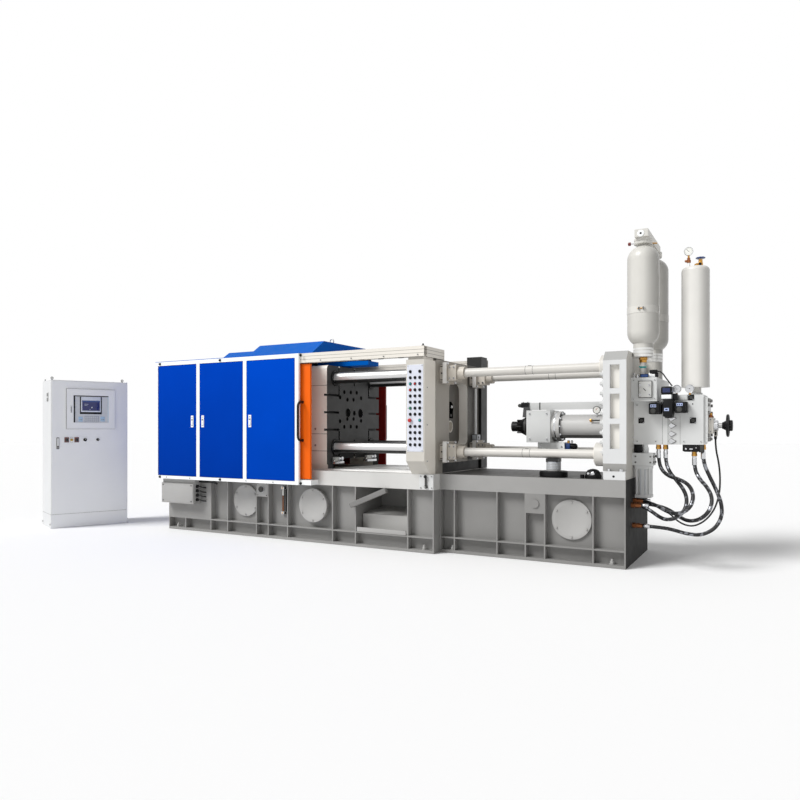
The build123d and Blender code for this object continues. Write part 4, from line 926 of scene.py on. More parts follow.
platen.done("moving_platen_fittings", "clamping_platen", "machined_steel")

low, high = box_of("fixed_platen")
fixed = Maker()
for y, z in tie_spots:
    bush = [(bush_inner, -2), (bush_inner, 14), (90, 14), (97, 9), (97, -2)]
    fixed.lathe((low.x, y, z), -X, bush, dark, 48, closed=True)
for y, facing in ((low.y, -Y), (high.y, Y)):
    for z in (1030, 1900):
        fixed.lathe((low.x + 100, y, z), facing, [(16, -2), (16, 5), (10, 8), (0, 8)], steel, 20)
clamp_face = high.x + 91
clamp_half = 80
for one, two in solid_boxes("rod_clamps"):
    _, y, z = (one + two) / 2
    corner = (two.y - one.y) / 2 - 13
    fixed.bolts(grid(clamp_face, around(y, corner), around(z, corner)), X, 20, bright_steel)
    for side in (-1, 1):
        rows = around(z, clamp_half - 22)
        spots = grid((clamp_face + 22, clamp_face + 70), y + side * clamp_half, rows)
        fixed.screws(spots, Y * side, 11, bright_steel, black)
        slot_z = z + side * 70
        slot_end = (high.x + 40, one.y + 30, slot_z + 4)
        fixed.box((high.x + 6, one.y + 25.2, slot_z - 4), slot_end, black)
    fixed.disc((high.x + 22.5, one.y + 26, z), -Y, 9, 0.8, black, 16)
recess_x = 805
# The keyhole in the recess is a near-black disc and slot, painted shade for its depth.
fixed.disc((recess_x, 10, 1510), X, 76, 1.2, hole_black, 40)
fixed.box((recess_x - 2, -58, 1398), (recess_x + 1.2, 78, 1510), hole_black)
fixed.lathe((recess_x, 31, 1526), X, [(20, 0), (20, 8), (14, 16), (0, 18)], steel, 28)
fixed.lathe((recess_x, 20, 1430), X, [(18, 0), (18, 6), (0, 8)], dark, 24)
sleeve_rim = [(55.5, -2), (55.5, 6), (66, 6), (68, 4), (68, -2)]
fixed.lathe((recess_x, 0, 1305), X, sleeve_rim, beige, 48, closed=True)
pipe_x = 930
pipe_y = 448
fixed.tube(grid(pipe_x, pipe_y, (1200, 1500, 1810)), 12.5, white, 16)
fixed.box((pipe_x - 15, pipe_y - 80, 1147), (pipe_x + 50, pipe_y + 25, 1215), panel_grey, 6)
fixed.disc((pipe_x + 50, pipe_y - 30, 1180), X, 16, 1, black)
fixed.box((pipe_x - 20, pipe_y - 30, 1752), (pipe_x + 30, pipe_y + 30, 1775), beige, 4)
fixed.done("fixed_platen_bolts", "machine", "machined_steel")


# Console, its buttons and the latch

button_boxes = solid_boxes("push_buttons")
columns = sorted({round((one.x + two.x) / 2) for one, two in button_boxes})
rows = sorted({round((one.z + two.z) / 2) for one, two in button_boxes}, reverse=True)
stop_button = (8, 0)
cap_colors = {
    (2, 0): teal, (2, 1): red, (2, 2): navy, (3, 0): red, (6, 0): green, stop_button: red, (8, 2): teal,
}
buttons = Maker()
for one, two in button_boxes:
    x, _, z = (one + two) / 2
    place = (rows.index(round(z)), columns.index(round(x)))
    spot = (x, two.y, z)
    color = cap_colors.get(place, black)
    depth = two.y - one.y
    if place == stop_button:
        rim = [(15, 0), (15, 3), (11, 4), (11, depth * 0.5)]
        cap = [(20.5, depth * 0.45), (21, depth * 0.62), (18.5, depth * 0.86), (11, depth * 0.98), (0, depth)]
    else:
        rim = [(16.5, 0), (16.2, 3.5), (13.6, 5), (11.2, 4)]
        cap = [(10.8, 0), (10.8, depth - 2), (8.8, depth - 0.2), (0, depth - 0.8)]
    buttons.lathe(spot, -Y, rim, black, 28)
    buttons.lathe(spot, -Y, cap, color, 32 if place == stop_button else 28)
buttons.done("console_buttons", "machine", "black_plastic", "push_buttons")

console = Maker()
panel_low, panel_high = box_of("button_panel")
low, high = box_of("console_post")
panel_screw_z = spaced(panel_low.z + 9, panel_high.z - 9, 3)
panel_screws = grid(inside(panel_low.x, panel_high.x, 9), panel_low.y, panel_screw_z)
console.screws(panel_screws, -Y, 4.5, steel)
edge = 4
trim_front = low.y - 2
trim_back = low.y + 1
for z in (panel_low.z - edge, panel_high.z):
    trim_end = (panel_high.x + edge, trim_back, z + edge)
    console.box((panel_low.x - edge, trim_front, z), trim_end, white, 0.8)
for x in (panel_low.x - edge, panel_high.x):
    console.box((x, trim_front, panel_low.z), (x + edge, trim_back, panel_high.z), white, 0.8)
console.screws(grid(high.x, low.y + 60, (950, 1320, 1700)), X, 7, steel, black)
low, high = box_of("latch_plate")
latch_screws = grid(inside(low.x, high.x, 18), low.y, inside(low.z, high.z, 18))
console.screws(latch_screws, -Y, 8, steel, black)
console.done("console_trim", "machine", "beige_paint")

low, high = box_of("latch_lever")
lever = Maker()
lever_x = (low.x + high.x) / 2
knob_radius = 17.2
steps = 12
knob = []
for k in range(steps + 1):
    angle = math.pi * k / steps
    knob.append((knob_radius * math.sin(angle) if 0 < k < steps else 0, -knob_radius * math.cos(angle)))
lever.lathe((lever_x, low.y + 17, high.z - 17), Z, knob, black, 28)
lever.bolt((lever_x, high.y - 35.5, low.z + 18), -Y, 14, steel)
lever.done("latch_knob", "lever", "black_plastic")


# Shot frame, rods and cylinder

frame_low, frame_high = box_of("shot_frame")
shot = Maker()
for spot in grid(frame_low.x, inside(frame_low.y, frame_high.y, 90), spaced(1060, 1796, 9)):
    shot.lathe(spot, -X, [(34, -4), (34, 12), (28, 17)], light_grey, 20)
    shot.bolt(spot - 15 * X, -X, 30, light_grey)
for side, y in ((-1, frame_low.y), (1, frame_high.y)):
    foot_x = (frame_low.x + 60, frame_high.x - 45)
    shot.bolts(grid(foot_x, y - side * 22, 888), Z, 30, bright_steel)
    shot.disc(((frame_low.x + frame_high.x) / 2, y, 842), Y * side, 11, 0.8, black)
for k in range(6):
    rear_screw_y = (-220, 380) if k in (2, 3) else (-220, 80, 380)
    shot.screws(grid(frame_high.x, rear_screw_y, 950 + 50 * k), X, 9, light_grey, black)
shot.done("shot_frame_bolts", "machine", "light_grey_paint")

rods = Maker()
seam = [(44, -3), (45.6, -2), (45.6, 2), (44, 3)]
seat = [(108, -2), (104, 6), (66, 8), (64, 16), (47, 18)]
for one, two in solid_boxes("shot_rods"):
    _, y, z = (one + two) / 2
    upper = z > 1400
    joint = 1830 if upper else 1800
    for at in (joint, joint + 75):
        rods.lathe((at, y, z), X, seam, shade_grey, 40)
    rods.box((joint + 20, y - 18, z + 43), (joint + 55, y + 18, z + 46.8), shade_grey, 1)
    seat_x = two.x - (36 if upper else 90)
    rods.lathe((seat_x, y, z), -X, seat, beige, 48)
    rods.screws(ring_spots((seat_x - 6, y, z), -X, 85, 8), -X, 9, beige, shade_grey)
rods.done("rod_couplings", "machine", "white_paint")

head_low, head_high = box_of("cylinder_head_block")
head_back = 2003
shot_z = 1305
half = 165
bore = 50
head = Maker()
for y_low, y_high, z_low, z_high in (
    (-half, -bore, -half, half), (bore, half, -half, half),
    (-bore, bore, bore, half), (-bore, bore, -half, -bore),
):
    head.box((head_low.x, y_low, shot_z + z_low), (head_high.x, y_high, shot_z + z_high), light_grey, 1.5)
head.box((1930, -50, shot_z + half - 2), (1990, 50, shot_z + half + 7), steel, 2)
head.done("head_block_body", "machine", "light_grey_paint", "cylinder_head_block")

barrel = Maker()
flange_at = (2088, 0, shot_z)
frame_at = (frame_low.x, 0, shot_z)
barrel.bolts(ring_spots(flange_at, X, 138, 10, 18.0), X, 22, bright_steel)
shadow_ring = [(122.2, -1), (122.2, 1.5), (153.5, 1.5), (153.5, -1)]
barrel.lathe(flange_at, X, shadow_ring, dark, 64, closed=True)
groove = [(155.5, 30), (156.5, 32), (156.5, 46), (155.5, 48)]
barrel.lathe((head_back, 0, shot_z), X, groove, bright_steel, 64)
barrel.bolts(ring_spots(frame_at, -X, 140, 8, 22.5), -X, 22, bright_steel)
barrel.lathe(frame_at, -X, [(165, -4), (165, 6), (158, 10), (123, 10)], light_grey, 64)
stem = Vector((2456, -75, shot_z + 95))
barrel.tube([stem, stem + Vector((0, -6, 20)), stem + Vector((0, -8, 36))], 9, bright_steel, 12)
dial = stem + Vector((0, 4, 68))
barrel.lathe(dial, -Y, [(36, 0), (38, 4), (38, 26), (34, 30), (32, 27)], dark, 36)
barrel.lathe(dial, -Y, [(32, 20), (32, 27.2), (0, 27.2)], dial_white, 36)
needle = Matrix.Rotation(math.radians(35), 4, "Y")
barrel.box(dial + Vector((-1.5, -28.2, -6)), dial + Vector((1.5, -27.4, 24)), red, 0, needle)
tap = Vector((2406, -114, shot_z + 58))
barrel.lathe(tap, -Y, [(16, -12), (16, 8), (11, 10), (11, 30), (7, 32)], brass, 6)
tap_lever = [tap + Vector(step) for step in ((0, -20, 0), (30, -26, 0), (90, -22, 0))]
barrel.tube(tap_lever, 8, dark, 10)
head_screws = grid(inside(head_low.x, head_back, 35), head_low.y, around(shot_z, 130))
barrel.screws(head_screws, -Y, 10, bright_steel, black)
barrel.done("shot_cylinder_bolts", "machine", "light_grey_paint")

low, high = box_of("lower_valve_block")
solenoid = Maker()
middle = (low.z + high.z) / 2
solenoid.box((high.x, -50, middle - 35), (high.x + 50, 50, middle + 35), valve_blue, 6)
solenoid.lathe((high.x + 50, 0, middle), X, [(33, -4), (33, 45), (24, 60), (12, 66)], black, 24)
solenoid.lathe((high.x + 30, -20, middle + 30), Z, [(14, 0), (14, 30), (10, 34)], brass, 6)
solenoid.lathe((high.x + 60, 0, middle + 30), Z, [(12, 0), (12, 28), (8, 34)], bright_steel, 18)
solenoid.screws(grid(inside(low.x, high.x, 30), low.y, middle), -Y, 9, bright_steel, black)
solenoid.done("lower_solenoid", "machine", "black_plastic")

plunger = Maker()
tip_x = box_of("shot_plunger")[0].x
nose = [(53.5, -4), (53.5, 6), (46, 10), (30, 10), (30, 2), (0, 2)]
plunger.lathe((tip_x + 4, 0, shot_z), -X, nose, dark, 36)
plunger.disc((tip_x + 1, 0, shot_z), -X, 28, 4.5, bright_steel, 30, 0)
skirt = [(96.2, 0), (98, 3), (98, 14), (96.2, 17)]
plunger.lathe((1698, 0, shot_z), X, skirt, dark, 48)
for k in range(6):
    turn = Matrix.Rotation(math.radians(60 * k + 30), 4, "X")
    rib = Vector((1638, 0, shot_z)) + turn @ Vector((0, 0, 68))
    plunger.block(rib, (30, 6, 13), black, 3, turn)
low, high = box_of("stroke_bar")
roller = [(15, 0), (19, 4), (19, 88), (12, 96)]
plunger.box((low.x - 30, -36, high.z - 52), (low.x + 60, 36, high.z + 4), black, 6)
plunger.lathe((low.x - 42, 48, high.z - 28), -Y, roller, dark, 20)
plunger.box((low.x - 46, -30, high.z - 40), (low.x - 26, 30, high.z - 16), black, 3)
plunger.screws(grid((low.x - 8, low.x + 40), -18, high.z + 4), Z, 8, steel, black)
plunger.box((1845, -23.5, high.z - 75.2), (1857, 23.5, high.z + 1.2), black, 0.8)
plunger.done("plunger_fittings", "plunger", "black_plastic")

jack = Maker()
low, high = box_of("rod_jack")
foot = Vector(((low.x + high.x) / 2, (low.y + high.y) / 2, low.z))
radius = (high.y - low.y) / 2
for spot in ring_spots(foot + 12 * Z, Z, radius * 0.985, 16, 0):
    jack.lathe(spot, Z, [(7, 0), (7, 30)], black, 8)
disc = [(129, 0), (136, 4), (137, 48), (128, 58), (74, 60), (70.5, 50)]
jack.lathe(foot, Z, disc, black, 56)
for k in range(5):
    thread = [(70.2, 0), (72.2, 4), (70.2, 8)]
    jack.lathe(foot + (75 + 16 * k) * Z, Z, thread, panel_grey, 40)
jack.done("jack_grips", "machine", "dark_paint")

valve = Maker()
at = Vector((2500, -430, frame_low.z))
dome = [(78, -4), (78, 28), (72, 36), (66, 56), (50, 76), (25, 87), (0, 90)]
valve.lathe(at, Z, dome, black, 36)
valve.lathe(at + Vector((-98, -20, 0)), Z, [(20, -4), (20, 30), (14, 34)], black, 6)
for side, size in ((-30, 13), (12, 18)):
    plug = [(size, -12), (size, 8), (size * 0.6, 12)]
    valve.lathe(at + Vector((side, -66, 45)), -Y, plug, bright_steel, 20)
valve.done("drain_valve", "machine", "black_plastic")


# Manifolds and their valves

manifold_low, manifold_high = box_of("manifold_left")
end_low, end_high = box_of("manifold_right")
front = manifold_low.y
joint_x = manifold_high.x
fittings = Maker()
socket = [(15, -1), (15, 4), (10, 4), (8, 1), (0, 1)]
for x, z in ((2896, 1359.5), (3353, 1357), (3336.5, 1571)):
    fittings.box((x - 27, front - 4, z - 27), (x + 27, front + 2, z + 27), black, 3)
    fittings.lathe((x, front - 4, z), -Y, socket, dark, 24)
    for side in (-19, 19):
        fittings.screw((x + side, front - 4, z - side), -Y, 4, bright_steel)
fittings.disc((3350, front, 1510), -Y, 6, 0.8, black, 18)
# Each diamond nut stands on a slightly bigger grey diamond, a painted shadow round it.
for z in (1377, 1309, 1232, 1164):
    for left, right, rise, out, material in ((2, 80, 30, 2, shade_grey), (6, 70, 25, 12, bright_steel)):
        middle_x = joint_x + 28
        diamond = [(joint_x + left, z), (middle_x, z + rise), (joint_x + right, z), (middle_x, z - rise)]
        fittings.prism(diamond, "y", front - out, front + 4, material)
seams = ((joint_x, end_low.z, manifold_high.z), (joint_x + 108, end_low.z, 1400), (3086, 1133, 1410))
for x, low_z, high_z in seams:
    fittings.box((x - 1.2, front - 0.8, low_z), (x + 1.2, front + 2, high_z), shade_grey)
front_screw_x = (manifold_low.x + 30, manifold_low.x + 200)
front_screws = grid(front_screw_x, front, inside(manifold_low.z, manifold_high.z, 30))
front_screws += grid((end_low.x + 140, 3420), front, end_low.z + 30)
fittings.screws(front_screws, -Y, 8, light_grey, dark)
rear_screws = grid((2880, 3000, 3200, 3380), manifold_high.y, (1180, 1340, 1490))
fittings.screws(rear_screws, Y, 12, light_grey, black)
end_bolts = grid(end_high.x, (-125, -30, 60, 150), inside(end_low.z, end_high.z, 50))
end_bolts += grid(end_high.x, (-125, 180), (1220, 1430, 1500))
fittings.bolts(end_bolts, X, 24, shade_grey)
fittings.box((2829, front, 1052), (2901, front + 80, 1131), black, 6)
fittings.lathe((2930, front + 40, 1049.5), Z, [(28, 0), (28, 50), (22, 56), (22, 81)], white, 28)
fittings.done("manifold_fittings", "machine", "light_grey_paint")

valves = Maker()
reach = front - 125
coils = ((2977, 3091, 1416, 1521, 3020, 1447), (3204, 3316, 1426, 1530, 3250, 1458))
for left, right, low_z, high_z, nut_x, nut_z in coils:
    valves.box((left, reach + 20, low_z), (right, front - 12, high_z), black, 14)
    valves.box((left + 12, reach, low_z + 12), (right - 12, reach + 30, high_z - 12), black, 10)
    valves.box((left + 20, front - 14, low_z + 15), (right - 20, front + 2, high_z - 15), dark, 3)
    valves.lathe((nut_x, reach, nut_z), -Y, [(24, -4), (24, 6), (19, 10), (0, 11)], dark, 28)
    valves.box((nut_x - 24, reach - 1.2, high_z - 40), (nut_x + 28, reach + 2, high_z - 14), pale_patch)
    for x in spaced(nut_x - 18, nut_x + 14, 3):
        valves.box((x, reach - 1.8, high_z - 35), (x + 9, reach, high_z - 20), navy)

# Middle valve with its cover
valves.box((3106, reach, 1392), (3192, front + 1, 1557), black, 12)
valves.box((3102, reach + 30, 1410), (3197, front - 30, 1530), dark, 8)
valves.lathe((3149, reach + 60, 1394), -Z, [(34, -4), (34, 8), (26, 14), (0, 14)], black, 24)
valves.box((3119, reach - 1.2, 1445), (3160, reach + 2, 1472), pale_patch)
valves.box((3128, reach - 1.8, 1452), (3150, reach, 1465), navy)
valves.box((3088, reach + 12, 1555), (3183, front + 1, 1600), white, 4)
valves.box((3086, reach + 8, 1599), (3186, front + 4, 1674), valve_navy, 18)
valves.lathe((3136, reach + 8, 1637), -Y, [(12, -4), (12, 3), (7, 3), (0, 1)], valve_navy, 20)
valves.box((3183, reach + 45, 1546), (3226, front + 1, 1608), black, 6)
valves.box((3232, front - 6, 1548), (3305, front + 2, 1596), light_grey, 2)

# Pilot valve under the right manifold
pilot_low = 1066
pilot_face = front - 6
valves.box((3262, front, pilot_low + 4), (3412, front + 130, 1133.5), black, 6)
valves.box((3276, pilot_face, pilot_low), (3400, front + 20, 1112), black, 5)
valves.box((3402, front + 4, pilot_low - 4), (3446, front + 110, 1131), dark, 6)
valves.lathe((3292, pilot_face, 1093), -Y, [(9, -1), (9, 4), (6, 6), (0, 6)], bright_steel, 20)
valves.box((3322, front - 7.5, 1086), (3352, front - 4, 1099), bright_steel, 1)
valves.screw((3380, pilot_face, 1104), -Y, 6, steel)

# Valve block's cover plate and the coil on top
low, high = box_of("valve_block")
plate_front = low.y - 20
valves.box((2897, plate_front, 1569), (3019, low.y + 1, 1727), plate_silver, 5)
for x, z in ((2914, 1687), (2995, 1687), (2912, 1598), (2997, 1598)):
    valves.screw((x, plate_front, z), -Y, 9.5, bright_steel, black)
slot_turn = Matrix.Rotation(math.radians(48), 4, "Y")
valves.lathe((2954, plate_front, 1645), -Y, [(24, -1), (24, 3), (21, 5), (0, 5)], plate_silver, 32)
valves.box((2939, plate_front - 6, 1641), (2969, plate_front - 4, 1649), dark, 0, slot_turn)
valves.screws(grid((2852, 3040), low.y, (1735, 1560)), -Y, 7.5, light_grey, dark)
top = high.z
valves.box((2908, low.y, top - 1), (2984, low.y + 75, top + 34), valve_blue, 6)
coil_at = Vector((2982, low.y + 36, top + 23))
valves.lathe(coil_at, X, [(21, 0), (22.5, 4), (22.5, 56), (18, 60)], white, 28)
valves.lathe(coil_at + 58 * X, X, [(19, -2), (23, 4), (23, 20), (16, 27), (0, 27)], black, 28)
valves.box((2992, low.y + 4, top + 38), (3062, low.y + 66, top + 70), black, 8)
valves.box((3012, low.y + 14, top + 28), (3044, low.y + 56, top + 50), black, 4)
for x, height in ((2850, 50), (2882, 34)):
    valves.lathe((x, low.y + 50, top), Z, [(14, -2), (14, 18), (9, 20), (9, height)], bright_steel, 6)
lead = (
    (3060, 35, 55), (3082, 34, 53), (3106, 36, 32), (3132, 40, -8), (3160, 50, -50), (3184, 62, -84),
)
valves.tube([(x, low.y + back, top + rise) for x, back, rise in lead], 6.2, rubber, 12)
valves.done("valve_set", "machine", "black_plastic", "solenoid_valves")

dials = Maker()
for one, two in solid_boxes("pressure_gauges"):
    at = Vector(((one.x + two.x) / 2, two.y, two.z - 40))
    depth = two.y - one.y
    stem_at = (at.x, at.y - depth / 2, one.z)
    dials.lathe(stem_at, Z, [(11, 0), (11, 12), (7, 14), (7, 30)], brass, 6)
    case = [(34, 0), (38.5, 3), (39.5, depth - 3), (37, depth), (34, depth - 2)]
    dials.lathe(at, -Y, case, bright_steel, 44)
    dials.lathe(at, -Y, [(34.5, depth - 6), (34.5, depth - 2.5), (0, depth - 2.5)], dial_white, 44)
    face = Vector((at.x, at.y - depth + 2.5, at.z))
    dials.dial_scale(face, 28, (0.8, 0.4, 3.5), (1.1, 0.5, 17), -70)
    dials.lathe(face, -Y, [(4, 0), (4, 2.2), (0, 2.6)], dark, 16)
dials.done("manifold_dials", "machine", "machined_steel", "pressure_gauges")

throttle = Maker()
housing_left = box_of("throttle_housing")[0].x
throttle_z = 1310
block_end = 3518
half = 75
throttle.box((housing_left, -half, throttle_z - half), (block_end, half, throttle_z + half), beige, 6)
flange = [(56, 0), (56, 12), (52, 14), (52, 33), (46, 39)]
throttle.lathe((block_end - 1, 0, throttle_z), X, flange, bright_steel, 40)
throttle.lathe((3556, 0, throttle_z), X, [(24, -2), (24, 88), (20, 90)], steel, 32)
throttle.box((3520, -30, throttle_z - 98.5), (3548, 30, throttle_z - 50), black, 5)
elbow = Vector((3494, -35, throttle_z + half))
throttle.lathe(elbow, Z, [(24, -1), (24, 12), (17, 14), (17, 26)], copper, 6)
throttle.lathe(elbow + 25 * Z, Z, [(12, 0), (12, 14), (6, 18)], brass, 20)
throttle.screws(grid(block_end, (-60, 60), around(throttle_z, 60)), X, 8, steel, black)
throttle.screws(grid(housing_left + 20, -half, around(throttle_z, 55)), -Y, 7, steel, black)
throttle.done("throttle_body", "machine", "beige_paint", "throttle_housing")


def ring_profile(radius, half, along, count=12):
    """The round section of a ring, for turning about its axis."""
    points = []
    for k in range(count):
        angle = 2 * math.pi * k / count
        points.append((radius + half * math.cos(angle), along + half * math.sin(angle)))
    return points


wheel = Maker()
hub_at = Vector((box_of("throttle_handwheel")[0].x, 0, throttle_z))
hub = [(24.5, 1), (30, 1), (34, 12), (47, 34), (52, 40), (52, 58), (24.5, 58)]
wheel.lathe(hub_at, X, hub, black, 36, closed=True)
wheel.lathe(hub_at, X, [(40, 56), (50, 60), (50, 84), (45, 90), (20, 92), (0, 92)], black, 36)
rim_along = 49
wheel.lathe(hub_at, X, ring_profile(93.5, 12.5, rim_along), black, 56, closed=True)
for k in range(6):
    turn = Matrix.Rotation(math.radians(60 * k), 4, "X")
    spot = hub_at + rim_along * X + turn @ Vector((0, 0, 67))
    wheel.block(spot, (6, 13, 20), black, 3, turn)
for k in range(12):
    turn = Matrix.Rotation(math.radians(30 * k), 4, "X")
    spot = hub_at + 72 * X + turn @ Vector((0, 0, 50))
    wheel.block(spot, (10, 3, 1.2), dark, 0.8, turn)
wheel.done("throttle_wheel_rim", "throttle_wheel", "black_plastic", "throttle_handwheel")


# Accumulators and nitrogen bottle

low, high = box_of("accumulator_bridge")
vessels = Maker()
ring = [
    (60, 0), (88, 1), (91.5, 4), (91.5, 26), (89.5, 28), (89.5, 33), (91.5, 35), (91.5, 58), (89.5, 60),
    (89.5, 65), (91.5, 67), (91.5, 86), (70, 92),
]
collar = [(40, -56), (80, -54), (83, -50), (83, -31), (80, -29), (80, -24), (83, -22), (83, -2), (60, 0)]
for one, two in solid_boxes("accumulators"):
    x, y, _ = (one + two) / 2
    radius = (two.y - one.y) / 2
    strap = [(radius - 2, 0), (radius + 3, 2), (radius + 3, 66), (radius - 2, 68)]
    vessels.lathe((x, y, 2364), Z, strap, strap_white, 64)
    clamp = Vector((x + 6, y - radius - 4, 2402))
    for side in (-20, 20):
        vessels.block(clamp + side * X, (7, 12, 14), dark, 2)
    vessels.lathe(clamp - Vector((34, 3, 0)), X, [(4.5, 0), (4.5, 68)], brass, 14)
    vessels.bolt(clamp + Vector((29, -3, 0)), X, 14, steel)
    vessels.lathe((x, y, 1957), Z, ring, flange_silver, 56)
    vessels.lathe((x, y, low.z + 66), Z, collar, bridge_skin, 48)
x = 2921
y = -220
neck = Vector((x, y, 1884))
vessels.lathe(neck, Z, [(30.5, 0), (22, 1), (22, 20), (33, 24), (33, 50)], brass, 24)
vessels.lathe(neck + 48 * Z, Z, [(36, 0), (39, 3), (39, 20), (34, 26)], brass, 6)
vessels.lathe(neck, Z, [(30.2, -30), (32.5, -28), (32.5, -14), (30.2, -12)], teal, 24)
vessels.block((x - 30, y - 12, 1868), (8, 8, 10), teal, 3)
vessels.block((x + 30, y - 12, 1872), (8, 8, 10), green, 3)
plug = (x - 4, low.y, high.z - 40)
vessels.lathe(plug, -Y, [(31, -2), (31, 3), (27, 5), (11, 5), (9, 1), (0, 1)], white, 36)
vessels.disc(plug, -Y, 9.5, 4.5, black, 6, 0)
vessels.screws(grid(around(x, 40), (-100, 80, 260), high.z), Z, 10, light_grey, black)
stub = Vector((x - 76, y - 30, low.z + 24))
vessels.tube([stub, stub + Vector((-34, -4, 0))], 6, bright_steel, 12)
stub_cap = [(12, 0), (16.5, 3), (16.5, 22), (12, 26), (0, 26)]
vessels.lathe(stub + Vector((-30, -4, 0)), -X, stub_cap, red_brown, 20)
stub = Vector((x + 72, y + 20, low.z + 22))
vessels.tube([stub, stub + Vector((50, 10, -4))], 6, brass, 12)
vessels.done("accumulator_fittings", "machine", "light_grey_paint")

low, high = box_of("nitrogen_bottle")
bottle_x = (low.x + high.x) / 2
bottle_top = 2809
gas = Maker()
pipe = Vector((bottle_x - 54, -60, 0))
gas.tube([pipe + z * Z for z in (2770, 2810, 2845)], 12.5, white, 20)
gas.lathe(pipe + 2842 * Z, Z, [(13, 0), (19, 2), (19, 26), (14, 30), (14, 48)], copper, 6)
gas.lathe(pipe + 2862 * Z, -X, [(11, 0), (11, 30), (7, 34)], copper, 14)
gas.lathe(pipe + 2888 * Z, Z, [(9, 0), (9, 30)], brass, 14)
dial = pipe + Vector((0, 12, 2951))
gas.lathe(dial, -Y, [(36, 0), (40, 3), (41, 21), (38, 25), (35.5, 22)], bright_steel, 44)
gas.lathe(dial, -Y, [(36, 18), (36, 22.2), (0, 22.2)], dial_white, 44)
gas.dial_scale(dial - 22.2 * Y, 29, (0.9, 0.4, 3.6), (1.2, 0.5, 18), -40)
bottle_foot = low.z
low, high = box_of("nitrogen_wheel")
valve_at = Vector(((low.x + high.x) / 2, 0, bottle_top))
body = [(30, -2), (30, 8), (22, 12), (22, 34), (18.5, 40), (18.5, 56), (16.5, 74.5)]
gas.lathe(valve_at, Z, body, brass, 8)
gas.lathe(valve_at + 24 * Z, -X, [(14, 10), (14, 40), (9, 42), (9, 52)], brass, 6)
gas.lathe(valve_at + 22 * Z, -Y, [(13, 10), (13, 34), (8, 38)], black, 12)
gas.lathe((bottle_x, 0, bottle_foot), Z, [(58, -1), (62, 2), (62, 20), (52, 24)], light_grey, 40)
gas.done("bottle_fittings", "machine", "light_grey_paint")

gas_wheel = Maker()
wheel_at = Vector((valve_at.x, 0, low.z))
span = high.z - low.z
cap = [(17.5, 0), (34, 1), (40.5, span * 0.3), (40.5, span * 0.65), (34, span * 0.95), (12, span), (0, span)]
gas_wheel.lathe(wheel_at, Z, cap, valve_blue, 40)
grip = [(4, 1), (5.5, 3), (5.5, span - 3), (4, span - 1)]
for spot in ring_spots(wheel_at, Z, 37, 8):
    gas_wheel.lathe(spot, Z, grip, valve_blue, 12)
gas_wheel.lathe(wheel_at + (span - 0.4) * Z, Z, [(8, 0), (8, 1.4), (0, 1.6)], bright_steel, 16)
gas_wheel.done("bottle_wheel", "gas_valve_wheel", "blue_paint", "nitrogen_wheel")


# Lift cylinder and hose ends

low, high = box_of("lift_cylinder")
lift = Maker()
x = 2921
y = (low.y + high.y) / 2
half = 73
bracket_z = 933
for low_z, high_z in ((low.z, low.z + 30), (bracket_z - 34, bracket_z)):
    lift.box((x - half, y - half, low_z), (x + half, y + half, high_z), light_grey, 4)
for spot in grid(around(x, 58), around(y, 58), low.z + 28):
    lift.lathe(spot, Z, [(11, 0), (11, bracket_z - low.z - 60)], light_grey, 16)
for rib_x in around(x, 20):
    rib_end = (rib_x + 4, y - 60, bracket_z - 34)
    lift.box((rib_x - 4, y - half - 0.5, low.z + 30), rib_end, panel_grey, 1)
bracket_rows = (bracket_z + 30, bracket_z + 85)
lift.screws(grid(high.x, around(y, 55), bracket_rows), X, 11, shade_grey, black)
lift.screws(grid((low.x + 30, high.x - 22), low.y, bracket_rows), -Y, 8, shade_grey, black)
lift.done("lift_cylinder_fittings", "machine", "light_grey_paint")

ends = Maker()
base_face = 2830
hose_tops = {"hose_1": 1130, "hose_2": 1130, "hose_3": 1066, "hose_4": 1133}
for name, top in hose_tops.items():
    route = hose_routes[name][2]
    start = Vector(route[0]) / MM
    drop = top - start.z
    sleeve = [(17.5, -70), (21, -66), (21, -4), (18.5, 0), (18.5, drop * 0.3)]
    ends.lathe(start, Z, sleeve, bright_steel, 28)
    ends.lathe(start + drop * 0.28 * Z, Z, [(24.5, 0), (24.5, drop * 0.38), (19, drop * 0.4)], brass, 6)
    ends.lathe(start + drop * 0.66 * Z, Z, [(19, 0), (22.5, 2), (22.5, drop * 0.34)], brass, 6)
    finish = Vector(route[-1]) / MM
    outlet = Vector((base_face, finish.y, finish.z))
    nut_end = finish.x - base_face - 42
    ends.lathe(outlet, X, [(26, -1), (26, 30), (21, 32), (21, 44)], copper, 6)
    ends.lathe(outlet + 42 * X, X, [(23.5, 0), (23.5, 30), (19, 32), (19, nut_end)], copper, 6)
    ends.lathe(finish, X, [(19, -3), (21.5, 2), (21.5, 56), (17.8, 62)], bright_steel, 28)
cable_route = hose_routes["cable_1"][2]
gland = [(8.5, -20), (12, -16), (13.5, 4), (13.5, 18), (12.5, 36.5)]
ends.lathe(Vector(cable_route[0]) / MM, Z, gland, black, 12)
finish = Vector(cable_route[-1]) / MM
socket = [(14, -1), (14, 30), (11.5, 34), (11.5, 100), (9, 112)]
ends.lathe((base_face, finish.y, finish.z), X, socket, brass, 6)
ends.done("hose_ends", "machine", "brass", "hose_fittings")


# Control cabinet, in its own frame with its door at the front

cabinet_place = Matrix.Translation((-4122, -1494, 0)) @ Matrix.Rotation(math.radians(67), 4, "Z")
leaf_face = -25
window_face = -47
glass_face = -36


def plate(maker, face, out, back, low, high, material, bevel=0):
    """A flat plate on a face, from its low and high (x, z) corners."""
    maker.box((low[0], face - out, low[1]), (high[0], face + back, high[1]), material, bevel)


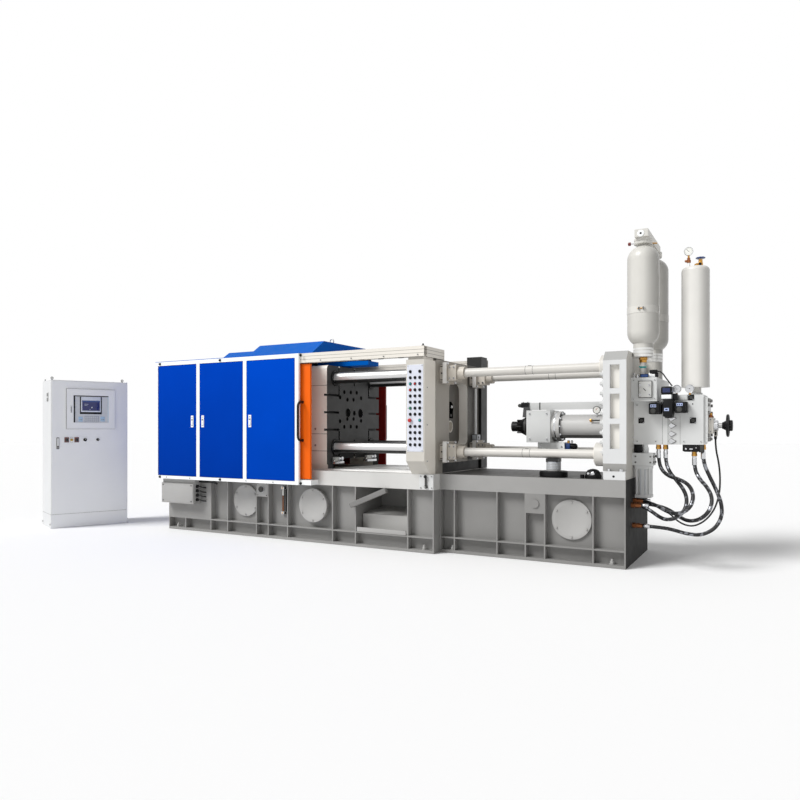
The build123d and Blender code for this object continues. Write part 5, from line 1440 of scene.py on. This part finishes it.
window = Maker(cabinet_place)
left = 258
bottom = 1362
right = 692
top = 1717
depth = glass_face - window_face
plate(window, glass_face, 1.5, 1, (left, bottom), (right, top), panel_pale)
# The black strip on the left and the dark strip along the top of the window's recess are painted shadow.
plate(window, window_face, -1, depth, (left, bottom), (left + 20, top), black, 1)
plate(window, window_face, -1, depth, (left, top - 14), (right, top), dark, 1)
plate(window, window_face, -2, depth, (right - 6, bottom), (right, top), pale_blue, 1)
plate(window, glass_face, 5, 0, (334, 1470), (611, 1704), black, 3)
plate(window, glass_face, 7, -4, (350, 1500), (595, 1700), screen_bezel, 2)
plate(window, glass_face, 7.8, -6, (363, 1517), (584, 1652), screen_navy, 0.8)
plate(window, glass_face, 8.2, -7.4, (363, 1630), (584, 1652), screen_blue)
for x, z, width, height in ((478, 1552, 12, 16), (455, 1532, 8, 6), (392, 1602, 50, 4), (392, 1588, 34, 4)):
    plate(window, glass_face, 8.5, -7.2, (x, z), (x + width, z + height), screen_bezel)
plate(window, glass_face, 4, 0, (318, 1372), (372, 1440), pale_blue, 3)
plate(window, glass_face, 4, 0, (588, 1376), (648, 1444), pale_blue, 3)
for x, z in ((334, 1392), (352, 1392), (604, 1396), (626, 1396)):
    plate(window, glass_face, 5.5, -3, (x, z), (x + 12, z + 12), shade_grey, 1)
plate(window, glass_face, 3, 0, (392, 1366), (574, 1452), panel_grey, 2)
for x, z in itertools.product(spaced(404, 545, 7), spaced(1376, 1426, 3)):
    plate(window, glass_face, 5, -2, (x, z), (x + 16, z + 15), panel_pale, 1)
plate(window, window_face, 4, 2, (217.5, 1488), (244, 1583), white, 3)
plate(window, window_face, 5.2, -3, (225, 1502), (236.5, 1570), shade_grey, 1)
window.disc((230.8, window_face - 4, 1496), -Y, 4.5, 1.2, black, 14, 0)
left = 173
bottom = 1277
right = 777
top = 1802
seam = 2.5
for low, high in (
    ((left, bottom), (right, bottom + seam)), ((left, top - seam), (right, top)),
    ((left, bottom), (left + seam, top)), ((right - seam, bottom), (right, top)),
):
    plate(window, leaf_face, 4, 1, low, high, shade_grey)
window.done("window_panel", "cabinet_leaf", "light_grey_paint")

leaf = Maker(cabinet_place)
plate(leaf, leaf_face, 6, 2, (59, 1018), (93, 1168), shade_grey, 6)
plate(leaf, leaf_face, 10, -3, (64, 1058), (88, 1162), white, 5)
plate(leaf, leaf_face, 7.5, -4, (68, 1027), (84, 1052), black, 3)
leaf.lathe((76, leaf_face - 7.4, 1040), -Y, [(6, 0), (6, 2), (2, 2), (0, 0.6)], steel, 18)
switch_z = 1137
for x in (180, 300):
    plate(leaf, leaf_face, 8, 1, (x - 28, switch_z - 34), (x + 28, switch_z + 34), switch_red, 7)
    plate(leaf, leaf_face, 13, -7, (x - 19, switch_z - 26), (x + 21, switch_z + 22), black, 5)
    plate(leaf, leaf_face, 21.5, -12, (x - 5, switch_z - 22), (x + 7, switch_z + 18), black, 3)
plate(leaf, leaf_face, 3, 1, (222, switch_z - 34), (258, switch_z + 34), white, 3)
leaf.lathe((240, leaf_face - 3, switch_z), -Y, [(16, 0), (16, 5), (12, 8), (0, 8)], yellow, 28)
plate(leaf, leaf_face, 18, -9, (237.5, switch_z - 14), (242.5, switch_z + 14), dark, 1)
for x, radius in ((404, 22.5), (562, 19.5)):
    knob = [(radius, 0), (radius, 3), (radius * 0.82, 6), (radius * 0.8, 16), (radius * 0.7, 21), (0, 21)]
    leaf.lathe((x, leaf_face, switch_z), -Y, knob, black, 32)
    plate(leaf, leaf_face, 22.2, -20, (x - 2, switch_z + 2), (x + 2, switch_z + radius * 0.65), white)
leaf.done("cabinet_controls", "cabinet_leaf", "black_plastic", "cabinet_switches")

shell = Maker(cabinet_place)
width = 950
back = 505
top = 1909
foot = [(16, -1), (16, 5), (8, 8)]
for x in (22, 894):
    shell.lathe((x, 45, top), Z, [*foot, (8, 14)], steel, 20)
    shell.eye((x, 45, top + 26), 13, 5, dark, 16)
    shell.lathe((x, 455, top), Z, [*foot, (8, 30), (0, 34)], steel, 20)
for low_z, high_z in ((1704, 1750), (1640, 1687)):
    shell.box((-3, 140, low_z - 6), (1, 235, high_z + 6), light_grey, 1)
    for k in range(4):
        z = low_z + (high_z - low_z) * k / 4
        shell.box((-6, 147, z), (0, 228, z + 8), dark, 1)
shell.bolts(grid(0, (30, 470), 50), -X, 18, steel)
shell.bolts(grid(width, (30, 470), 50), X, 18, steel)
shell.box((0, -1.2, 175.5), (width, 2, 178.5), shade_grey)
shell.box((-1.2, 0, 175.5), (2, back, 178.5), shade_grey)
shell.screws(grid(spaced(80, 880, 5), back, (300, 1800)), Y, 7, steel)
shell.done("cabinet_trim", "machine", "light_grey_paint")


# Camera, light and floor

camera_data = bpy.data.cameras.new("photo_camera")
camera_data.sensor_width = 36.0
camera_data.lens = 31.0
camera_data.shift_y = 0.036
camera_data.clip_end = 200.0
camera = bpy.data.objects.new("photo_camera", camera_data)
camera.location = (4.06, -7.06, 1.28)
camera.rotation_euler = (math.radians(90), 0, math.radians(28.9))
scene.collection.objects.link(camera)
scene.camera = camera

sun_data = bpy.data.lights.new("key_light", "SUN")
sun_data.energy = 2.8
sun_data.angle = math.radians(25)
sun = bpy.data.objects.new("key_light", sun_data)
sun.rotation_euler = Vector((0.45, 0.62, -0.75)).to_track_quat("-Z", "Y").to_euler()
scene.collection.objects.link(sun)

world = bpy.data.worlds.new("studio")
scene.world = world
world.use_nodes = True
tree = world.node_tree
background = tree.nodes["Background"]
background.inputs["Color"].default_value = (1, 1, 1, 1)
path = tree.nodes.new("ShaderNodeLightPath")
seen = None
for ray in ("Is Camera Ray", "Is Glossy Ray", "Is Transmission Ray"):
    if seen is None:
        seen = path.outputs[ray]
        continue
    either = tree.nodes.new("ShaderNodeMath")
    either.operation = "MAXIMUM"
    tree.links.new(seen, either.inputs[0])
    tree.links.new(path.outputs[ray], either.inputs[1])
    seen = either.outputs[0]
level = tree.nodes.new("ShaderNodeMapRange")
level.inputs[3].default_value = 0.4
level.inputs[4].default_value = 1.0
tree.links.new(seen, level.inputs[0])
tree.links.new(level.outputs[0], background.inputs["Strength"])

floor_mesh = bpy.data.meshes.new("studio_floor")
half = 60.0
corners = [(-half, -half, -0.002), (half, -half, -0.002), (half, half, -0.002), (-half, half, -0.002)]
floor_mesh.from_pydata(corners, [], [(0, 1, 2, 3)])
floor = bpy.data.objects.new("studio_floor", floor_mesh)
scene.collection.objects.link(floor)
floor_mesh.materials.append(surface("studio_floor", (0.95, 0.95, 0.95, 1), 0.8, mottle=0.0))

scene.render.engine = "CYCLES"
scene.view_settings.view_transform = "Standard"
scene.view_settings.look = "None"
scene.view_settings.exposure = 0.0
scene.view_settings.gamma = 1.0
